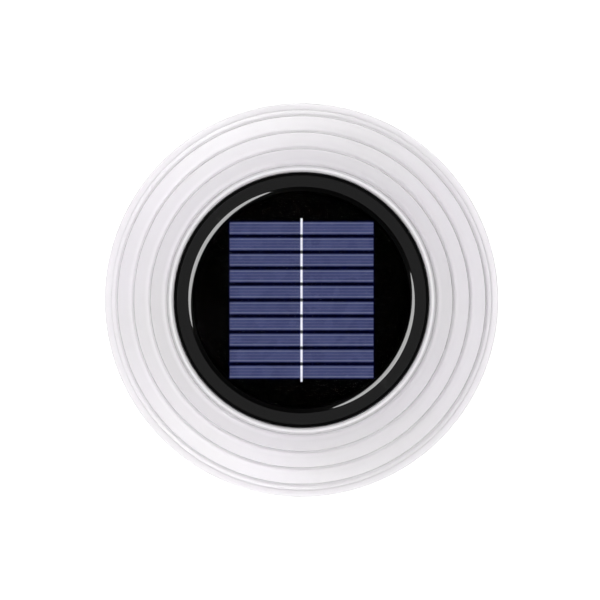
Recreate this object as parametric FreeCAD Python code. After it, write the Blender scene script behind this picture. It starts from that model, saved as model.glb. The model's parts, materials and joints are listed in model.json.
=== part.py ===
import FreeCAD, Part

import math
import os

from FreeCAD import Vector

# Solar floating pool light, in its own frame: +Z up, origin at the middle of the foot ring's bottom.
# A float of two welded, terraced shells carries a twist-off solar cap on top, a lamp board and its
# battery on the lower shell's floor, and a sealed push button with a folding tether bail underneath.
# The cap comes off anticlockwise: its lugs follow tilted ramps in the neck and lift it as it turns.
# All sizes are millimetres and degrees.

# ---- Overall sizes -------------------------------------------------------------------------------
float_radius = 55.0        # widest circle, on the lower shell's rim
total_height = 56.0        # foot ring to bezel top
parting_z = 31.5           # plane on which the two shells are welded
base_radius = 33.0         # outside of the foot ring
wall = 1.8                 # moulded wall of both shells

# ---- Terraces ------------------------------------------------------------------------------------
upper_risers = 4           # steps from the neck lip down to the upper rim
lower_risers = 5           # steps from the lower rim down to the foot
ledge_width = 2.0          # lower rim that shows outside the upper shell
rim_land = 1.9             # flat land outside the last upper riser
rim_wall_height = 1.6      # upright edge of the upper shell above the parting plane
lower_rim_height = 5.0     # upright band of the lower shell's rim
land_fall = 0.45           # fall of each lower land, so that water runs off
upper_land_falls = (0.25, 0.4, 0.6, 0.2)  # the upper lands lean out more from step to step
riser_draft = 0.25         # lean of each riser, so that the shell leaves its mould
cove_radius = 0.9          # hollow fillet at a riser's foot
edge_radius = 0.25         # round of a land's outer edge
rim_edge_radius = 0.7      # round under the lower rim and at the foot ring
ledge_edge_radius = 0.4    # round of the lower rim's upper edge
lip_inner_round = 0.15     # crisp edge of the lip beside the cap
lip_outer_round = 0.5

# ---- Neck and twist lock -------------------------------------------------------------------------
bezel_radius = 34.95       # outside of the black cap ring
bezel_stand = 3.0          # height of the cap ring above the neck lip
bezel_gap = 0.2            # radial gap between cap ring and lip
lip_width = 1.75           # wall of the lip round the cap ring
lip_depth = 1.5            # depth of the seat that the cap flange drops into
neck_step = 1.95           # width of the seat's shoulder
neck_length = 12.0         # neck tube, lip top to its lower end
skirt_clearance = 0.3      # radial gap between the cap's upper skirt and the neck bore
seat_clearance = 0.1       # gap between the cap flange and the shoulder
lock_count = 3             # lugs on the cap, and ramps in the neck
lug_arc = 34.0             # degrees of each lug
ramp_arc = 40.0            # degrees of each ramp
stop_arc = 2.5             # degrees of the stop at each ramp's closed end
stop_play = 1.0            # degrees from a closed lug to its stop
lug_height = 2.0
lug_foot = 0.8             # skirt below each lug
lug_gap = 0.2              # gap between a lug's top and its ramp
lug_end_gap = 0.25         # gap between a lug and the neck bore, and between a ramp and the skirt
lock_overlap = 1.1         # radial bite of lug under ramp
ramp_thickness = 2.5
cap_lead = 12.0            # rise of the cap in a full turn

# ---- Cap -----------------------------------------------------------------------------------------
bezel_face_width = 3.85    # flat top and outer round of the cap ring
bevel_width = 1.2          # bright sloped edge from the face down to the window
bevel_fall = 0.85
bevel_round = 0.25
bezel_inner_land = 0.25    # upright edge under the bevel
bezel_edge_radius = 0.3    # round of the ring's outer edge
bezel_step = 0.8           # the ring stands in from its thin flange by this much
bezel_flange = 0.8         # thickness of that flange
window_ledge = 1.0         # cap ring's hold over the window's edge
window_thickness = 1.5
cap_fit = 0.2              # radial gap round window, gasket and panel board
gasket_thickness = 0.45
gasket_width = 1.2
panel_board_thickness = 1.5
panel_ledge = 2.4          # ledge that carries the panel board
solder_room = 1.85         # space for the panel board's solder joints
cap_floor = 1.6
cap_skirt_wall = 1.8
cap_skirt_depth = 6.5      # lower skirt below the cap's floor
cap_flange_thickness = 1.8
upper_skirt_depth = 4.2    # wide skirt that carries the seal
weld_tongue_width = 0.8    # tongues that weld cap ring to cap body, and shell to shell
weld_tongue_depth = 1.1
weld_clearance = 0.1
fillet_share = 0.45        # most of a straight that a fillet may take
small_round = 0.4          # round of the smaller moulded edges
cut_margin = 1.0           # how far a cutting solid runs past the face that it opens
seal_wire = 1.7            # section diameter of the cap's sealing ring
seal_groove_play = 0.5      # groove's extra width over the ring's section
seal_gap = 0.08            # ring to neck bore
seal_slack = 0.02          # ring to groove floor

# ---- Solar cells ---------------------------------------------------------------------------------
cell_count = 10
cell_pitch = 4.39
cell_width = 39.5          # along X
cell_height = 3.57         # along Y
cell_thickness = 0.25
ribbon_width = 0.8
ribbon_thickness = 0.12
ribbon_overhang = 0.9      # end tabs past the first and last strips

# ---- Base, button and bail -----------------------------------------------------------------------
foot_width = 3.6
recess_depth = 4.0
button_hole_radius = 6.9
guard_width = 2.1          # raised ring round the button
guard_height = 1.6
boot_gap = 0.3             # gap between boot and hole
boot_wall = 1.0
boot_pad_thickness = 1.5
boot_round = 0.8
boot_inset = 1.5           # boot's face above the foot plane
boot_flange_width = 3.9
boot_flange_thickness = 1.2
key_gap = 0.4              # gap between key and boot wall
key_seat = 0.05            # gap between key and boot pad
key_thickness = 1.9
key_stem_radius = 2.2
button_travel = 1.2
retainer_width = 10.6
retainer_thickness = 1.5
retainer_screw_count = 3
retainer_boss_radius = 2.2
retainer_skin = 0.9        # floor left under each retainer screw, with its end gap
bail_wire = 2.0
bail_radius = 19.5         # middle of the wire's bow
bail_bend = 2.0            # middle of the bend into each pivot
bail_axis_z = 2.2
bail_pin_length = 2.5
bail_clearance = 0.06      # radial running clearance of a pivot in its lug
bail_lug_wall = 0.7
bail_lug_gap = 0.3         # side gap between lug and bend
bail_lug_thickness = 2.0

# ---- Lamp board ----------------------------------------------------------------------------------
board_stand = 5.2          # bosses between the floor and the board
board_margin = 2.5         # board past each end of the battery holder
board_thickness = 1.6
board_boss_radius = 3.0
board_screw_inset = 3.7    # screw's middle inside the board's edge
board_screw_angles = (65.0, 115.0, 245.0, 295.0)
screw_radius = 0.9
screw_clearance = 0.2      # radial gap where a screw passes through
screw_head_radius = 1.9
screw_head_height = 1.3
screw_bite = 3.6           # length of thread in its boss
screw_end_gap = 0.3        # hole beyond a screw's tip
screw_cross_length = 2.7   # cross recess in each head
screw_cross_width = 0.45
screw_cross_depth = 0.6
led_inset = 6.7            # lamp's middle inside the board's edge
led_angles = (38.0, 90.0, 142.0, 218.0, 270.0, 322.0)
led_side = 5.0
led_height = 1.5
led_pocket_radius = 1.9
led_pocket_depth = 0.4
chip_place = (-6.6, 11.4)
chip_size = (4.9, 3.9, 1.5)
chip_stand = 0.1           # chip's underside above the board
chip_leg_count = 4         # pairs of legs
chip_leg_pitch = 1.27
chip_leg_width = 0.4
chip_leg_reach = 1.0
coil_place = (6.8, 11.8)
coil_radius = 3.0
coil_winding_radius = 2.55
coil_height = 4.0
coil_flange = 0.8
capacitor_place = (-8.0, -12.4)
capacitor_radius = 2.5
capacitor_height = 6.0
capacitor_foot_side = 5.3
capacitor_foot_height = 0.8
header_place = (7.0, -12.0)
header_size = (7.4, 5.6, 4.4)
header_wall = 0.8
plug_size = (5.6, 3.8, 5.0)
plug_lift = 1.2            # plug's bottom above the board
switch_side = 7.0
switch_height = 3.8
plunger_radius = 1.7
plunger_clearance = 0.1
plunger_depth = 1.7        # length of plunger inside the switch at rest

# ---- Battery -------------------------------------------------------------------------------------
battery_radius = 5.2
battery_length = 44.0
battery_nub_radius = 2.0
battery_nub_height = 0.8
holder_wall = 1.2
holder_clearance = 0.2
contact_thickness = 0.4
contact_width = 7.0
spring_wire = 0.6
spring_turns = 3.5
spring_radius = 3.2
spring_length = 3.4
spring_sink = 0.05         # how far the first turn is set into its plate

# ---- Diffuser and leads --------------------------------------------------------------------------
dome_wall = 1.2
dome_battery_gap = 0.2     # upright skirt above the battery's top
dome_cap_gap = 6.9         # crown below the lead grommet
dome_shoulder_inset = 9.2
dome_crown_drop = 2.2
dome_skirt_bend = 3.0      # rounds of the dome's two shoulders
dome_shoulder_bend = 6.0
dome_hole_radius = 4.0
dome_ear_radius = 3.0
lead_radius = 0.55
lead_spacing = 1.5
grommet_radius = 3.4
grommet_height = 3.0
grommet_cavity_radius = 2.3
grommet_cavity_depth = 2.7
grommet_spigot_radius = 1.85
grommet_slack = 0.05       # spigot to its hole
grommet_head = 0.3         # spigot proud of the cap's floor
lead_reach = 2.2           # lead inside the grommet's cavity at rest
lead_dip = 2.5             # first bend's corner below the dome's crown
lead_bend_share = 0.45     # share of the shorter run that a bend takes

# ---- Levels and radii that follow ----------------------------------------------------------------
lip_top = total_height - bezel_stand
shoulder_z = lip_top - lip_depth
neck_bottom = lip_top - neck_length
lip_bore = bezel_radius + bezel_gap
lip_radius = lip_bore + lip_width
neck_bore = lip_bore - neck_step
upper_rim_radius = float_radius - ledge_width
upper_pitch = (upper_rim_radius - rim_land - lip_radius) / (upper_risers - 1)
rim_land_z = parting_z + rim_wall_height + upper_land_falls[-1]
upper_riser = (lip_top - rim_land_z - sum(upper_land_falls[:-1])) / upper_risers
lower_rim_bottom = parting_z - lower_rim_height
lower_pitch = (float_radius - base_radius) / lower_risers
lower_step = lower_rim_bottom / lower_risers
tongue_radius = upper_rim_radius - wall / 2
lower_rim_inner = tongue_radius - weld_tongue_width - weld_clearance

cap_radius = neck_bore - skirt_clearance
lower_skirt_radius = neck_bore - lug_end_gap * 2 - lock_overlap
window_seat_radius = bezel_radius - bezel_face_width - bevel_width + window_ledge
window_radius = window_seat_radius - cap_fit
window_top = total_height - bevel_fall - bezel_inner_land
window_bottom = window_top - window_thickness
panel_top = window_bottom - gasket_thickness
panel_bottom = panel_top - panel_board_thickness
solder_radius = window_seat_radius - panel_ledge
cap_floor_top = panel_bottom - solder_room
cap_floor_bottom = cap_floor_top - cap_floor
cap_bottom = cap_floor_bottom - cap_skirt_depth
cap_flange_bottom = shoulder_z + seat_clearance
cap_flange_top = cap_flange_bottom + cap_flange_thickness
upper_skirt_bottom = cap_flange_bottom - upper_skirt_depth
groove_radius = neck_bore - seal_gap - seal_wire - seal_slack
groove_middle = cap_flange_bottom - upper_skirt_depth / 2
cap_tongue_radius = (window_seat_radius + bezel_radius) / 2
lug_top = cap_bottom + lug_foot + lug_height
ramp_bottom = lug_top + lug_gap
ramp_inner = lower_skirt_radius + lug_end_gap
lug_outer = neck_bore - lug_end_gap

recess_radius = base_radius - foot_width
floor_top = recess_depth + wall
guard_radius = button_hole_radius + guard_width
boot_radius = button_hole_radius - boot_gap
boot_bore = boot_radius - boot_wall
boot_pad_top = boot_inset + boot_pad_thickness
boot_flange_radius = boot_radius + boot_flange_width
boot_flange_top = floor_top + boot_flange_thickness
retainer_radius = boot_bore + retainer_width
retainer_top = boot_flange_top + retainer_thickness
retainer_screw_ring = (boot_flange_radius + retainer_radius) / 2
retainer_bite = boot_flange_thickness + wall - retainer_skin
key_bottom = boot_pad_top + key_seat
board_bottom = floor_top + board_stand
board_top = board_bottom + board_thickness
switch_bottom = board_bottom - switch_height
plunger_foot = switch_bottom - button_travel - 0.1
battery_axis_z = board_top + holder_wall + holder_clearance + battery_radius
battery_room = battery_length + battery_nub_height + spring_length + 2 * contact_thickness
holder_length = battery_room + 2 * holder_wall
board_radius = holder_length / 2 + board_margin
board_screw_ring = board_radius - board_screw_inset
led_ring = board_radius - led_inset
plug_bottom = board_top + plug_lift
dome_skirt_top = battery_axis_z + battery_radius + dome_battery_gap
dome_shoulder_radius = board_radius - dome_shoulder_inset
grommet_bottom = cap_floor_bottom - grommet_height
dome_top = grommet_bottom - dome_cap_gap


# ---- Helpers -------------------------------------------------------------------------------------
def rounded_outline(corners):
    """Closed wire in the XZ plane through (radius, z, fillet) corners, each fillet a tangent arc."""
    corners = [tuple(c) + (0.0,) * (3 - len(c)) for c in corners]
    count = len(corners)
    starts, ends, edges = [], [], []
    for i, (x, z, fillet) in enumerate(corners):
        here = Vector(x, 0, z)
        before = Vector(corners[i - 1][0], 0, corners[i - 1][1]) - here
        after = Vector(corners[(i + 1) % count][0], 0, corners[(i + 1) % count][1]) - here
        if fillet <= 0:
            starts.append(here)
            ends.append(here)
            edges.append(None)
            continue
        half = before.getAngle(after) / 2
        longest = fillet_share * min(before.Length, after.Length)
        setback = min(fillet / math.tan(half), longest)
        radius = setback * math.tan(half)
        first = here + Vector(before).normalize() * setback
        last = here + Vector(after).normalize() * setback
        inward = (Vector(before).normalize() + Vector(after).normalize()).normalize()
        middle = here + inward * (radius / math.sin(half) - radius)
        starts.append(first)
        ends.append(last)
        edges.append(Part.Arc(first, middle, last).toShape())
    outline = []
    for i in range(count):
        if edges[i]:
            outline.append(edges[i])
        following = starts[(i + 1) % count]
        if ends[i].distanceToPoint(following) > 1e-6:
            outline.append(Part.LineSegment(ends[i], following).toShape())
    return Part.Wire(outline)


def lathe(corners, angle=360.0):
    """Solid of revolution about Z from (radius, z, fillet) corners."""
    face = Part.Face(rounded_outline(corners))
    return face.revolve(Vector(0, 0, 0), Vector(0, 0, 1), angle)


def tube(inner, outer, low, high):
    return lathe([(inner, low), (outer, low), (outer, high), (inner, high)])


def rod(radius, low, high, x=0.0, y=0.0):
    return Part.makeCylinder(radius, high - low, Vector(x, y, low))


def block(size, x, y, low):
    """Box of size (x, y, z) centred on x, y and standing on the level low."""
    return Part.makeBox(size[0], size[1], size[2], Vector(x - size[0] / 2, y - size[1] / 2, low))


def sector(inner, outer, low, high, arc):
    """Piece of a ring, arc degrees wide, centred on +X."""
    piece = lathe([(inner, low), (outer, low), (outer, high), (inner, high)], arc)
    piece.rotate(Vector(0, 0, 0), Vector(0, 0, 1), -arc / 2)
    return piece


def turned(shape, angle):
    copy = shape.copy()
    copy.rotate(Vector(0, 0, 0), Vector(0, 0, 1), angle)
    return copy


def around(shape, count):
    return [turned(shape, 360.0 * i / count) for i in range(count)]


def on_ring(radius, angle):
    return radius * math.cos(math.radians(angle)), radius * math.sin(math.radians(angle))


def joined(first, others):
    return first.fuse(others).removeSplitter()


def above_slope(level, side):
    """Half space above (side 1) or below (side -1) the ramp plane, which climbs towards +Y near +X."""
    size = 4 * float_radius
    slab = Part.makeBox(size, size, size, Vector(-size / 2, -size / 2, 0 if side > 0 else -size))
    slope = math.degrees(math.atan(cap_lead / (2 * math.pi * (ramp_inner + lug_outer) / 2)))
    slab.rotate(Vector(0, 0, 0), Vector(1, 0, 0), slope)
    slab.translate(Vector(0, 0, level))
    return slab


def pipe_path(points):
    """Wire of straight runs through the points, joined by the widest tangent arc at each inner point."""
    edges, start = [], points[0]
    for i in range(1, len(points) - 1):
        here = points[i]
        back, on = points[i - 1] - here, points[i + 1] - here
        setback = lead_bend_share * min(back.Length, on.Length)
        back, on = back.normalize(), on.normalize()
        half = back.getAngle(on) / 2
        radius = setback * math.tan(half)
        print(f"lead bend {i}: radius {radius:.1f}")
        first, last = here + back * setback, here + on * setback
        inward = (back + on).normalize()
        middle = here + inward * (radius / math.sin(half) - radius)
        edges.append(Part.LineSegment(start, first).toShape())
        edges.append(Part.Arc(first, middle, last).toShape())
        start = last
    edges.append(Part.LineSegment(start, points[-1]).toShape())
    return Part.Wire(edges)


def wire_solid(path, radius, start, direction):
    """Round wire of that radius along the path, which starts at start in that direction."""
    profile = Part.Wire(Part.makeCircle(radius, start, direction))
    return path.makePipeShell([profile], True, True)


def screw(x, y, seat, length):
    """Pan-head screw: its head stands on the level seat and its shank runs down from it."""
    head = rod(screw_head_radius, seat, seat + screw_head_height, x, y)
    shank = rod(screw_radius, seat - length, seat, x, y)
    slot_size = (screw_cross_length, screw_cross_width, screw_cross_depth)
    slot = block(slot_size, x, y, seat + screw_head_height - screw_cross_depth)
    cross = slot.copy()
    cross.rotate(Vector(x, y, 0), Vector(0, 0, 1), 90)
    return head.fuse(shank).cut([slot, cross]).removeSplitter()


def pilot_hole(mouth, bite, ring, angle):
    """Hole in a boss for a screw's thread, a little deeper than the screw goes."""
    return rod(screw_radius, mouth - bite - screw_end_gap, mouth + cut_margin, *on_ring(ring, angle))


def clearance_hole(low, high, ring, angle):
    """Hole that a screw passes through freely."""
    return rod(screw_radius + screw_clearance, low - cut_margin, high + cut_margin, *on_ring(ring, angle))


# ---- Float shells --------------------------------------------------------------------------------
def upper_outline():
    """Outside of the upper shell from the lip to the rim, and its inside back to the neck."""
    outside = [(lip_bore, lip_top, lip_inner_round), (lip_radius, lip_top, lip_outer_round)]
    inside = []
    radius, level = lip_radius, lip_top
    for step in range(upper_risers):
        foot = level - upper_riser
        last = step == upper_risers - 1
        end = upper_rim_radius if last else radius + upper_pitch
        outside.append((radius + riser_draft, foot, cove_radius))
        fall = upper_land_falls[step]
        outside.append((end, foot - fall, edge_radius))
        if step:
            inside.append((radius - wall, level - wall))
            inside.append((radius + riser_draft - wall, foot - wall))
        radius, level = end, foot - fall
    outside.append((upper_rim_radius, parting_z))
    inside.append((upper_rim_radius - wall, level - wall))
    inside.append((upper_rim_radius - wall, parting_z))
    return outside, inside


def upper_shell():
    outside, inside = upper_outline()
    first_land = lip_top - upper_riser - wall
    neck = [
        (neck_bore + wall, first_land),
        (neck_bore + wall, neck_bottom),
        (neck_bore, neck_bottom),
        (neck_bore, shoulder_z),
        (lip_bore, shoulder_z),
    ]
    shell = lathe(outside + inside[::-1] + neck)
    half_tongue = weld_tongue_width / 2
    tongue = tube(
        tongue_radius - half_tongue,
        tongue_radius + half_tongue,
        parting_z - 2 * weld_tongue_depth,
        parting_z,
    )
    ramp = sector(ramp_inner, neck_bore + wall / 2, ramp_bottom - 2, ramp_bottom + ramp_thickness, ramp_arc)
    ramp = ramp.common(above_slope(ramp_bottom, 1))
    stop_top = ramp_bottom + ramp_thickness / 4
    stop = sector(ramp_inner, neck_bore + wall / 2, lug_top - lug_height, stop_top, stop_arc)
    stop = turned(stop, -(lug_arc + stop_arc) / 2 - stop_play)
    return joined(shell, [tongue] + around(ramp.fuse(stop).removeSplitter(), lock_count))


def lower_outline():
    """Outside of the lower shell from the parting plane to the foot, and the matching inside."""
    outside = [
        (float_radius, parting_z, ledge_edge_radius),
        (float_radius, lower_rim_bottom, rim_edge_radius),
    ]
    inside = []
    radius, level = float_radius, lower_rim_bottom
    for step in range(lower_risers):
        end = radius - lower_pitch
        foot = level - lower_step
        last = step == lower_risers - 1
        outside.append((end + riser_draft, level - land_fall, cove_radius))
        outside.append((end, foot, rim_edge_radius if last else edge_radius))
        if step:
            inside.append((radius - wall, level + wall))
        inside.append((end + riser_draft - wall, level - land_fall + wall))
        radius, level = end, foot
    inside.append((base_radius - wall, floor_top))
    return outside, inside


def bail_lugs():
    """Two ears on the recess floor, each a block with a round foot about the pivot."""
    ear_radius = bail_wire / 2 + bail_clearance + bail_lug_wall
    start = bail_radius + bail_bend + bail_lug_gap
    ears = []
    for side in (1, -1):
        middle = side * (start + bail_lug_thickness / 2)
        rise = floor_top - wall / 2 - bail_axis_z
        post = block((bail_lug_thickness, 2 * ear_radius, rise), middle, 0, bail_axis_z)
        low = Vector(middle - bail_lug_thickness / 2, 0, bail_axis_z)
        nose = Part.makeCylinder(ear_radius, bail_lug_thickness, low, Vector(1, 0, 0))
        ears.append(post.fuse(nose))
    return ears


def lower_shell():
    outside, inside = lower_outline()
    base = [
        (recess_radius, 0, edge_radius),
        (recess_radius, recess_depth, edge_radius),
        (guard_radius, recess_depth, edge_radius),
        (guard_radius, recess_depth - guard_height, edge_radius),
        (button_hole_radius, recess_depth - guard_height, edge_radius),
        (button_hole_radius, floor_top),
    ]
    rim_inside = [(lower_rim_inner, lower_rim_bottom + wall), (lower_rim_inner, parting_z)]
    shell = lathe(outside + base + inside[::-1] + rim_inside)
    bosses = [
        rod(board_boss_radius, floor_top - wall / 2, board_bottom, *on_ring(board_screw_ring, a))
        for a in board_screw_angles
    ]
    pads = [
        rod(retainer_boss_radius, floor_top - wall / 2, boot_flange_top, *on_ring(retainer_screw_ring, a))
        for a in retainer_screw_angles()
    ]
    shell = joined(shell, bosses + pads + bail_lugs())
    half_groove = weld_tongue_width / 2 + weld_clearance
    groove = tube(
        tongue_radius - half_groove,
        tongue_radius + half_groove,
        parting_z - 2 * weld_tongue_depth - weld_clearance,
        parting_z + cut_margin,
    )
    holes = [
        pilot_hole(board_bottom, screw_bite, board_screw_ring, a)
        for a in board_screw_angles
    ]
    holes += [
        pilot_hole(boot_flange_top, retainer_bite, retainer_screw_ring, a)
        for a in retainer_screw_angles()
    ]
    pivot_reach = 2 * (bail_radius + bail_bend + bail_pin_length + bail_lug_thickness)
    pivot = Part.makeCylinder(
        bail_wire / 2 + bail_clearance,
        pivot_reach,
        Vector(-pivot_reach / 2, 0, bail_axis_z),
        Vector(1, 0, 0),
    )
    return shell.cut([groove] + holes + [pivot.common(Part.makeCompound(bail_lugs()))])


# ---- Cap -----------------------------------------------------------------------------------------
def cap_body():
    half_width = (seal_wire + seal_groove_play) / 2
    groove_low = groove_middle - half_width
    groove_high = groove_middle + half_width
    body = lathe(
        [
            (bezel_radius, cap_flange_top),
            (bezel_radius, cap_flange_bottom, small_round),
            (cap_radius, cap_flange_bottom),
            (cap_radius, groove_high),
            (groove_radius, groove_high),
            (groove_radius, groove_low),
            (cap_radius, groove_low),
            (cap_radius, upper_skirt_bottom),
            (lower_skirt_radius, upper_skirt_bottom),
            (lower_skirt_radius, cap_bottom, small_round),
            (lower_skirt_radius - cap_skirt_wall, cap_bottom),
            (lower_skirt_radius - cap_skirt_wall, cap_floor_bottom),
            (grommet_spigot_radius + grommet_slack, cap_floor_bottom),
            (grommet_spigot_radius + grommet_slack, cap_floor_top),
            (solder_radius, cap_floor_top),
            (solder_radius, panel_bottom),
            (window_seat_radius, panel_bottom),
            (window_seat_radius, cap_flange_top),
        ]
    )
    lug_inner = lower_skirt_radius - cap_skirt_wall / 2
    lug = sector(lug_inner, lug_outer, lug_top - lug_height, lug_top + lug_height, lug_arc)
    lug = lug.common(above_slope(lug_top, -1))
    body = joined(body, around(lug, lock_count))
    half_groove = weld_tongue_width / 2 + weld_clearance
    groove = tube(
        cap_tongue_radius - half_groove,
        cap_tongue_radius + half_groove,
        cap_flange_top - weld_tongue_depth - weld_clearance,
        cap_flange_top + cut_margin,
    )
    return body.cut(groove)


def cap_bezel():
    face_inner = bezel_radius - bezel_face_width
    window_edge = face_inner - bevel_width
    ring = lathe(
        [
            (bezel_radius, cap_flange_top),
            (bezel_radius, cap_flange_top + bezel_flange, bevel_round / 2),
            (bezel_radius - bezel_step, cap_flange_top + bezel_flange),
            (bezel_radius - bezel_step, total_height, bezel_edge_radius),
            (face_inner, total_height, bevel_round),
            (window_edge, window_top + bezel_inner_land),
            (window_edge, window_top),
            (window_seat_radius, window_top),
            (window_seat_radius, cap_flange_top),
        ]
    )
    half_tongue = weld_tongue_width / 2
    tongue = tube(
        cap_tongue_radius - half_tongue,
        cap_tongue_radius + half_tongue,
        cap_flange_top - weld_tongue_depth,
        cap_flange_top,
    )
    return joined(ring, [tongue])


def cap_seal():
    middle = groove_radius + seal_slack + seal_wire / 2
    return Part.makeTorus(middle, seal_wire / 2, Vector(0, 0, groove_middle), Vector(0, 0, 1))


def solar_window():
    return rod(window_radius, window_bottom, window_top)


def window_gasket():
    return tube(window_radius - gasket_width, window_radius, panel_top, window_bottom)


def panel_board():
    return rod(window_radius, panel_bottom, panel_top)


def cell_middle(index):
    return (index - (cell_count - 1) / 2) * cell_pitch


def solar_cell(index):
    return block((cell_width, cell_height, cell_thickness), 0, cell_middle(index), panel_top)


def cell_ribbons():
    """Tinned ribbon on each strip, with a tab past the block at either end."""
    pieces = []
    for index in range(cell_count):
        low = cell_middle(index) - cell_height / 2
        high = cell_middle(index) + cell_height / 2
        if index == 0:
            low -= ribbon_overhang
        if index == cell_count - 1:
            high += ribbon_overhang
        size = (ribbon_width, high - low, ribbon_thickness)
        pieces.append(block(size, 0, (low + high) / 2, panel_top + cell_thickness))
    return Part.makeCompound(pieces)


def lead_grommet():
    """Plug in the cap's floor; the two leads enter the round cavity under it."""
    low = grommet_bottom
    roof = low + grommet_cavity_depth
    return lathe(
        [
            (0, roof),
            (grommet_cavity_radius, roof),
            (grommet_cavity_radius, low),
            (grommet_radius, low, small_round),
            (grommet_radius, cap_floor_bottom),
            (grommet_spigot_radius, cap_floor_bottom),
            (grommet_spigot_radius, cap_floor_top + grommet_head),
            (0, cap_floor_top + grommet_head),
        ]
    )


# ---- Button --------------------------------------------------------------------------------------
def retainer_screw_angles():
    return [30.0 + 360.0 * i / retainer_screw_count for i in range(retainer_screw_count)]


def button_boot():
    """Silicone cup in the button hole, with its flange clamped on the floor's inside."""
    return lathe(
        [
            (0, boot_inset),
            (boot_radius, boot_inset, boot_round),
            (boot_radius, floor_top),
            (boot_flange_radius, floor_top),
            (boot_flange_radius, boot_flange_top),
            (boot_bore, boot_flange_top),
            (boot_bore, boot_pad_top, small_round),
            (0, boot_pad_top),
        ]
    )


def boot_retainer():
    ring = tube(boot_bore, retainer_radius, boot_flange_top, retainer_top)
    holes = [
        clearance_hole(boot_flange_top, retainer_top, retainer_screw_ring, a)
        for a in retainer_screw_angles()
    ]
    return ring.cut(holes)


def retainer_screws():
    length = retainer_thickness + retainer_bite
    return Part.makeCompound(
        [screw(*on_ring(retainer_screw_ring, a), retainer_top, length) for a in retainer_screw_angles()]
    )


def button_key():
    """Hard key behind the boot, with a stem that pushes the switch."""
    disc = rod(boot_bore - key_gap, key_bottom, key_bottom + key_thickness)
    return disc.fuse(rod(key_stem_radius, key_bottom, plunger_foot)).removeSplitter()


def power_switch():
    body = block((switch_side, switch_side, switch_height), 0, 0, switch_bottom)
    bore_top = switch_bottom + plunger_depth + button_travel + 2 * plunger_clearance
    bore = rod(plunger_radius + plunger_clearance, switch_bottom - cut_margin, bore_top)
    return body.cut(bore)


def switch_plunger():
    return rod(plunger_radius, plunger_foot, switch_bottom + plunger_depth)


def tether_bail():
    """Wire bow that folds flat in the recess, with a pivot pin bent outwards at each end."""
    tip = bail_radius + bail_bend + bail_pin_length
    middle_of_bend = bail_bend * (1 - math.sqrt(0.5))

    def at(x, y):
        return Vector(x, y, bail_axis_z)

    def bend(side):
        pin_end = at(side * (bail_radius + bail_bend), 0)
        middle = at(side * (bail_radius + middle_of_bend), middle_of_bend)
        return Part.Arc(pin_end, middle, at(side * bail_radius, bail_bend))

    bow = Part.Arc(at(bail_radius, bail_bend), at(0, bail_bend + bail_radius), at(-bail_radius, bail_bend))
    pins = [
        Part.LineSegment(at(side * tip, 0), at(side * (bail_radius + bail_bend), 0)) for side in (1, -1)
    ]
    curves = [pins[0], bend(1), bow, bend(-1), pins[1]]
    path = Part.Wire(Part.__sortEdges__([c.toShape() for c in curves]))
    return wire_solid(path, bail_wire / 2, at(tip, 0), Vector(-1, 0, 0))


# ---- Lamp board ----------------------------------------------------------------------------------
def circuit_board():
    board = rod(board_radius, board_bottom, board_top)
    holes = [
        clearance_hole(board_bottom, board_top, board_screw_ring, a)
        for a in board_screw_angles
    ]
    return board.cut(holes)


def board_screws():
    seat = board_top + dome_wall
    length = dome_wall + board_thickness + screw_bite
    return Part.makeCompound(
        [screw(*on_ring(board_screw_ring, a), seat, length) for a in board_screw_angles]
    )


def led(angle):
    led_top = board_top + led_height
    body = block((led_side, led_side, led_height), led_ring, 0, board_top)
    pocket = rod(led_pocket_radius, led_top - led_pocket_depth, led_top + cut_margin, led_ring)
    return turned(body.cut(pocket), angle)


def controller_chip():
    x, y = chip_place
    body = block(chip_size, x, y, board_top + chip_stand)
    leg_size = (chip_leg_width, chip_size[1] + 2 * chip_leg_reach, 2 * chip_stand)
    legs = []
    for i in range(chip_leg_count):
        place = x + (i - (chip_leg_count - 1) / 2) * chip_leg_pitch
        legs.append(block(leg_size, place, y, board_top))
    return joined(body, legs)


def boost_coil():
    x, y = coil_place
    top = board_top + coil_height
    core = rod(coil_winding_radius, board_top, top, x, y)
    return joined(
        core,
        [
            rod(coil_radius, board_top, board_top + coil_flange, x, y),
            rod(coil_radius, top - coil_flange, top, x, y),
        ],
    )


def storage_capacitor():
    x, y = capacitor_place
    foot = block((capacitor_foot_side, capacitor_foot_side, capacitor_foot_height), x, y, board_top)
    return foot.fuse(rod(capacitor_radius, board_top, board_top + capacitor_height, x, y)).removeSplitter()


def lead_header():
    x, y = header_place
    pocket = (header_size[0] - 2 * header_wall, header_size[1] - 2 * header_wall, header_size[2])
    return block(header_size, x, y, board_top).cut(block(pocket, x, y, board_top + header_wall))


def lead_plug():
    return block(plug_size, *header_place, plug_bottom)


def battery_holder():
    """Open trough with two end walls, soldered along the middle of the board."""
    outer_y = 2 * (battery_radius + holder_clearance + holder_wall)
    body = block((holder_length, outer_y, battery_axis_z - board_top), 0, 0, board_top)
    trough = Part.makeCylinder(
        battery_radius + holder_clearance,
        battery_room,
        Vector(-battery_room / 2, 0, battery_axis_z),
        Vector(1, 0, 0),
    )
    body = body.cut(trough)
    ends = [
        block(
            (holder_wall, contact_width + holder_wall, battery_axis_z + contact_width / 2 - board_top),
            side * (holder_length - holder_wall) / 2,
            0,
            board_top,
        )
        for side in (1, -1)
    ]
    return joined(body, ends)


def battery_start():
    """X of the cell's flat end, past the spring."""
    return -battery_room / 2 + contact_thickness + spring_length


def battery_cell():
    start = battery_start()
    foot = Vector(start, 0, battery_axis_z)
    can = Part.makeCylinder(battery_radius, battery_length, foot, Vector(1, 0, 0))
    nub = Part.makeCylinder(
        battery_nub_radius,
        battery_nub_height,
        Vector(start + battery_length, 0, battery_axis_z),
        Vector(1, 0, 0),
    )
    return can.fuse(nub).removeSplitter()


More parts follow.
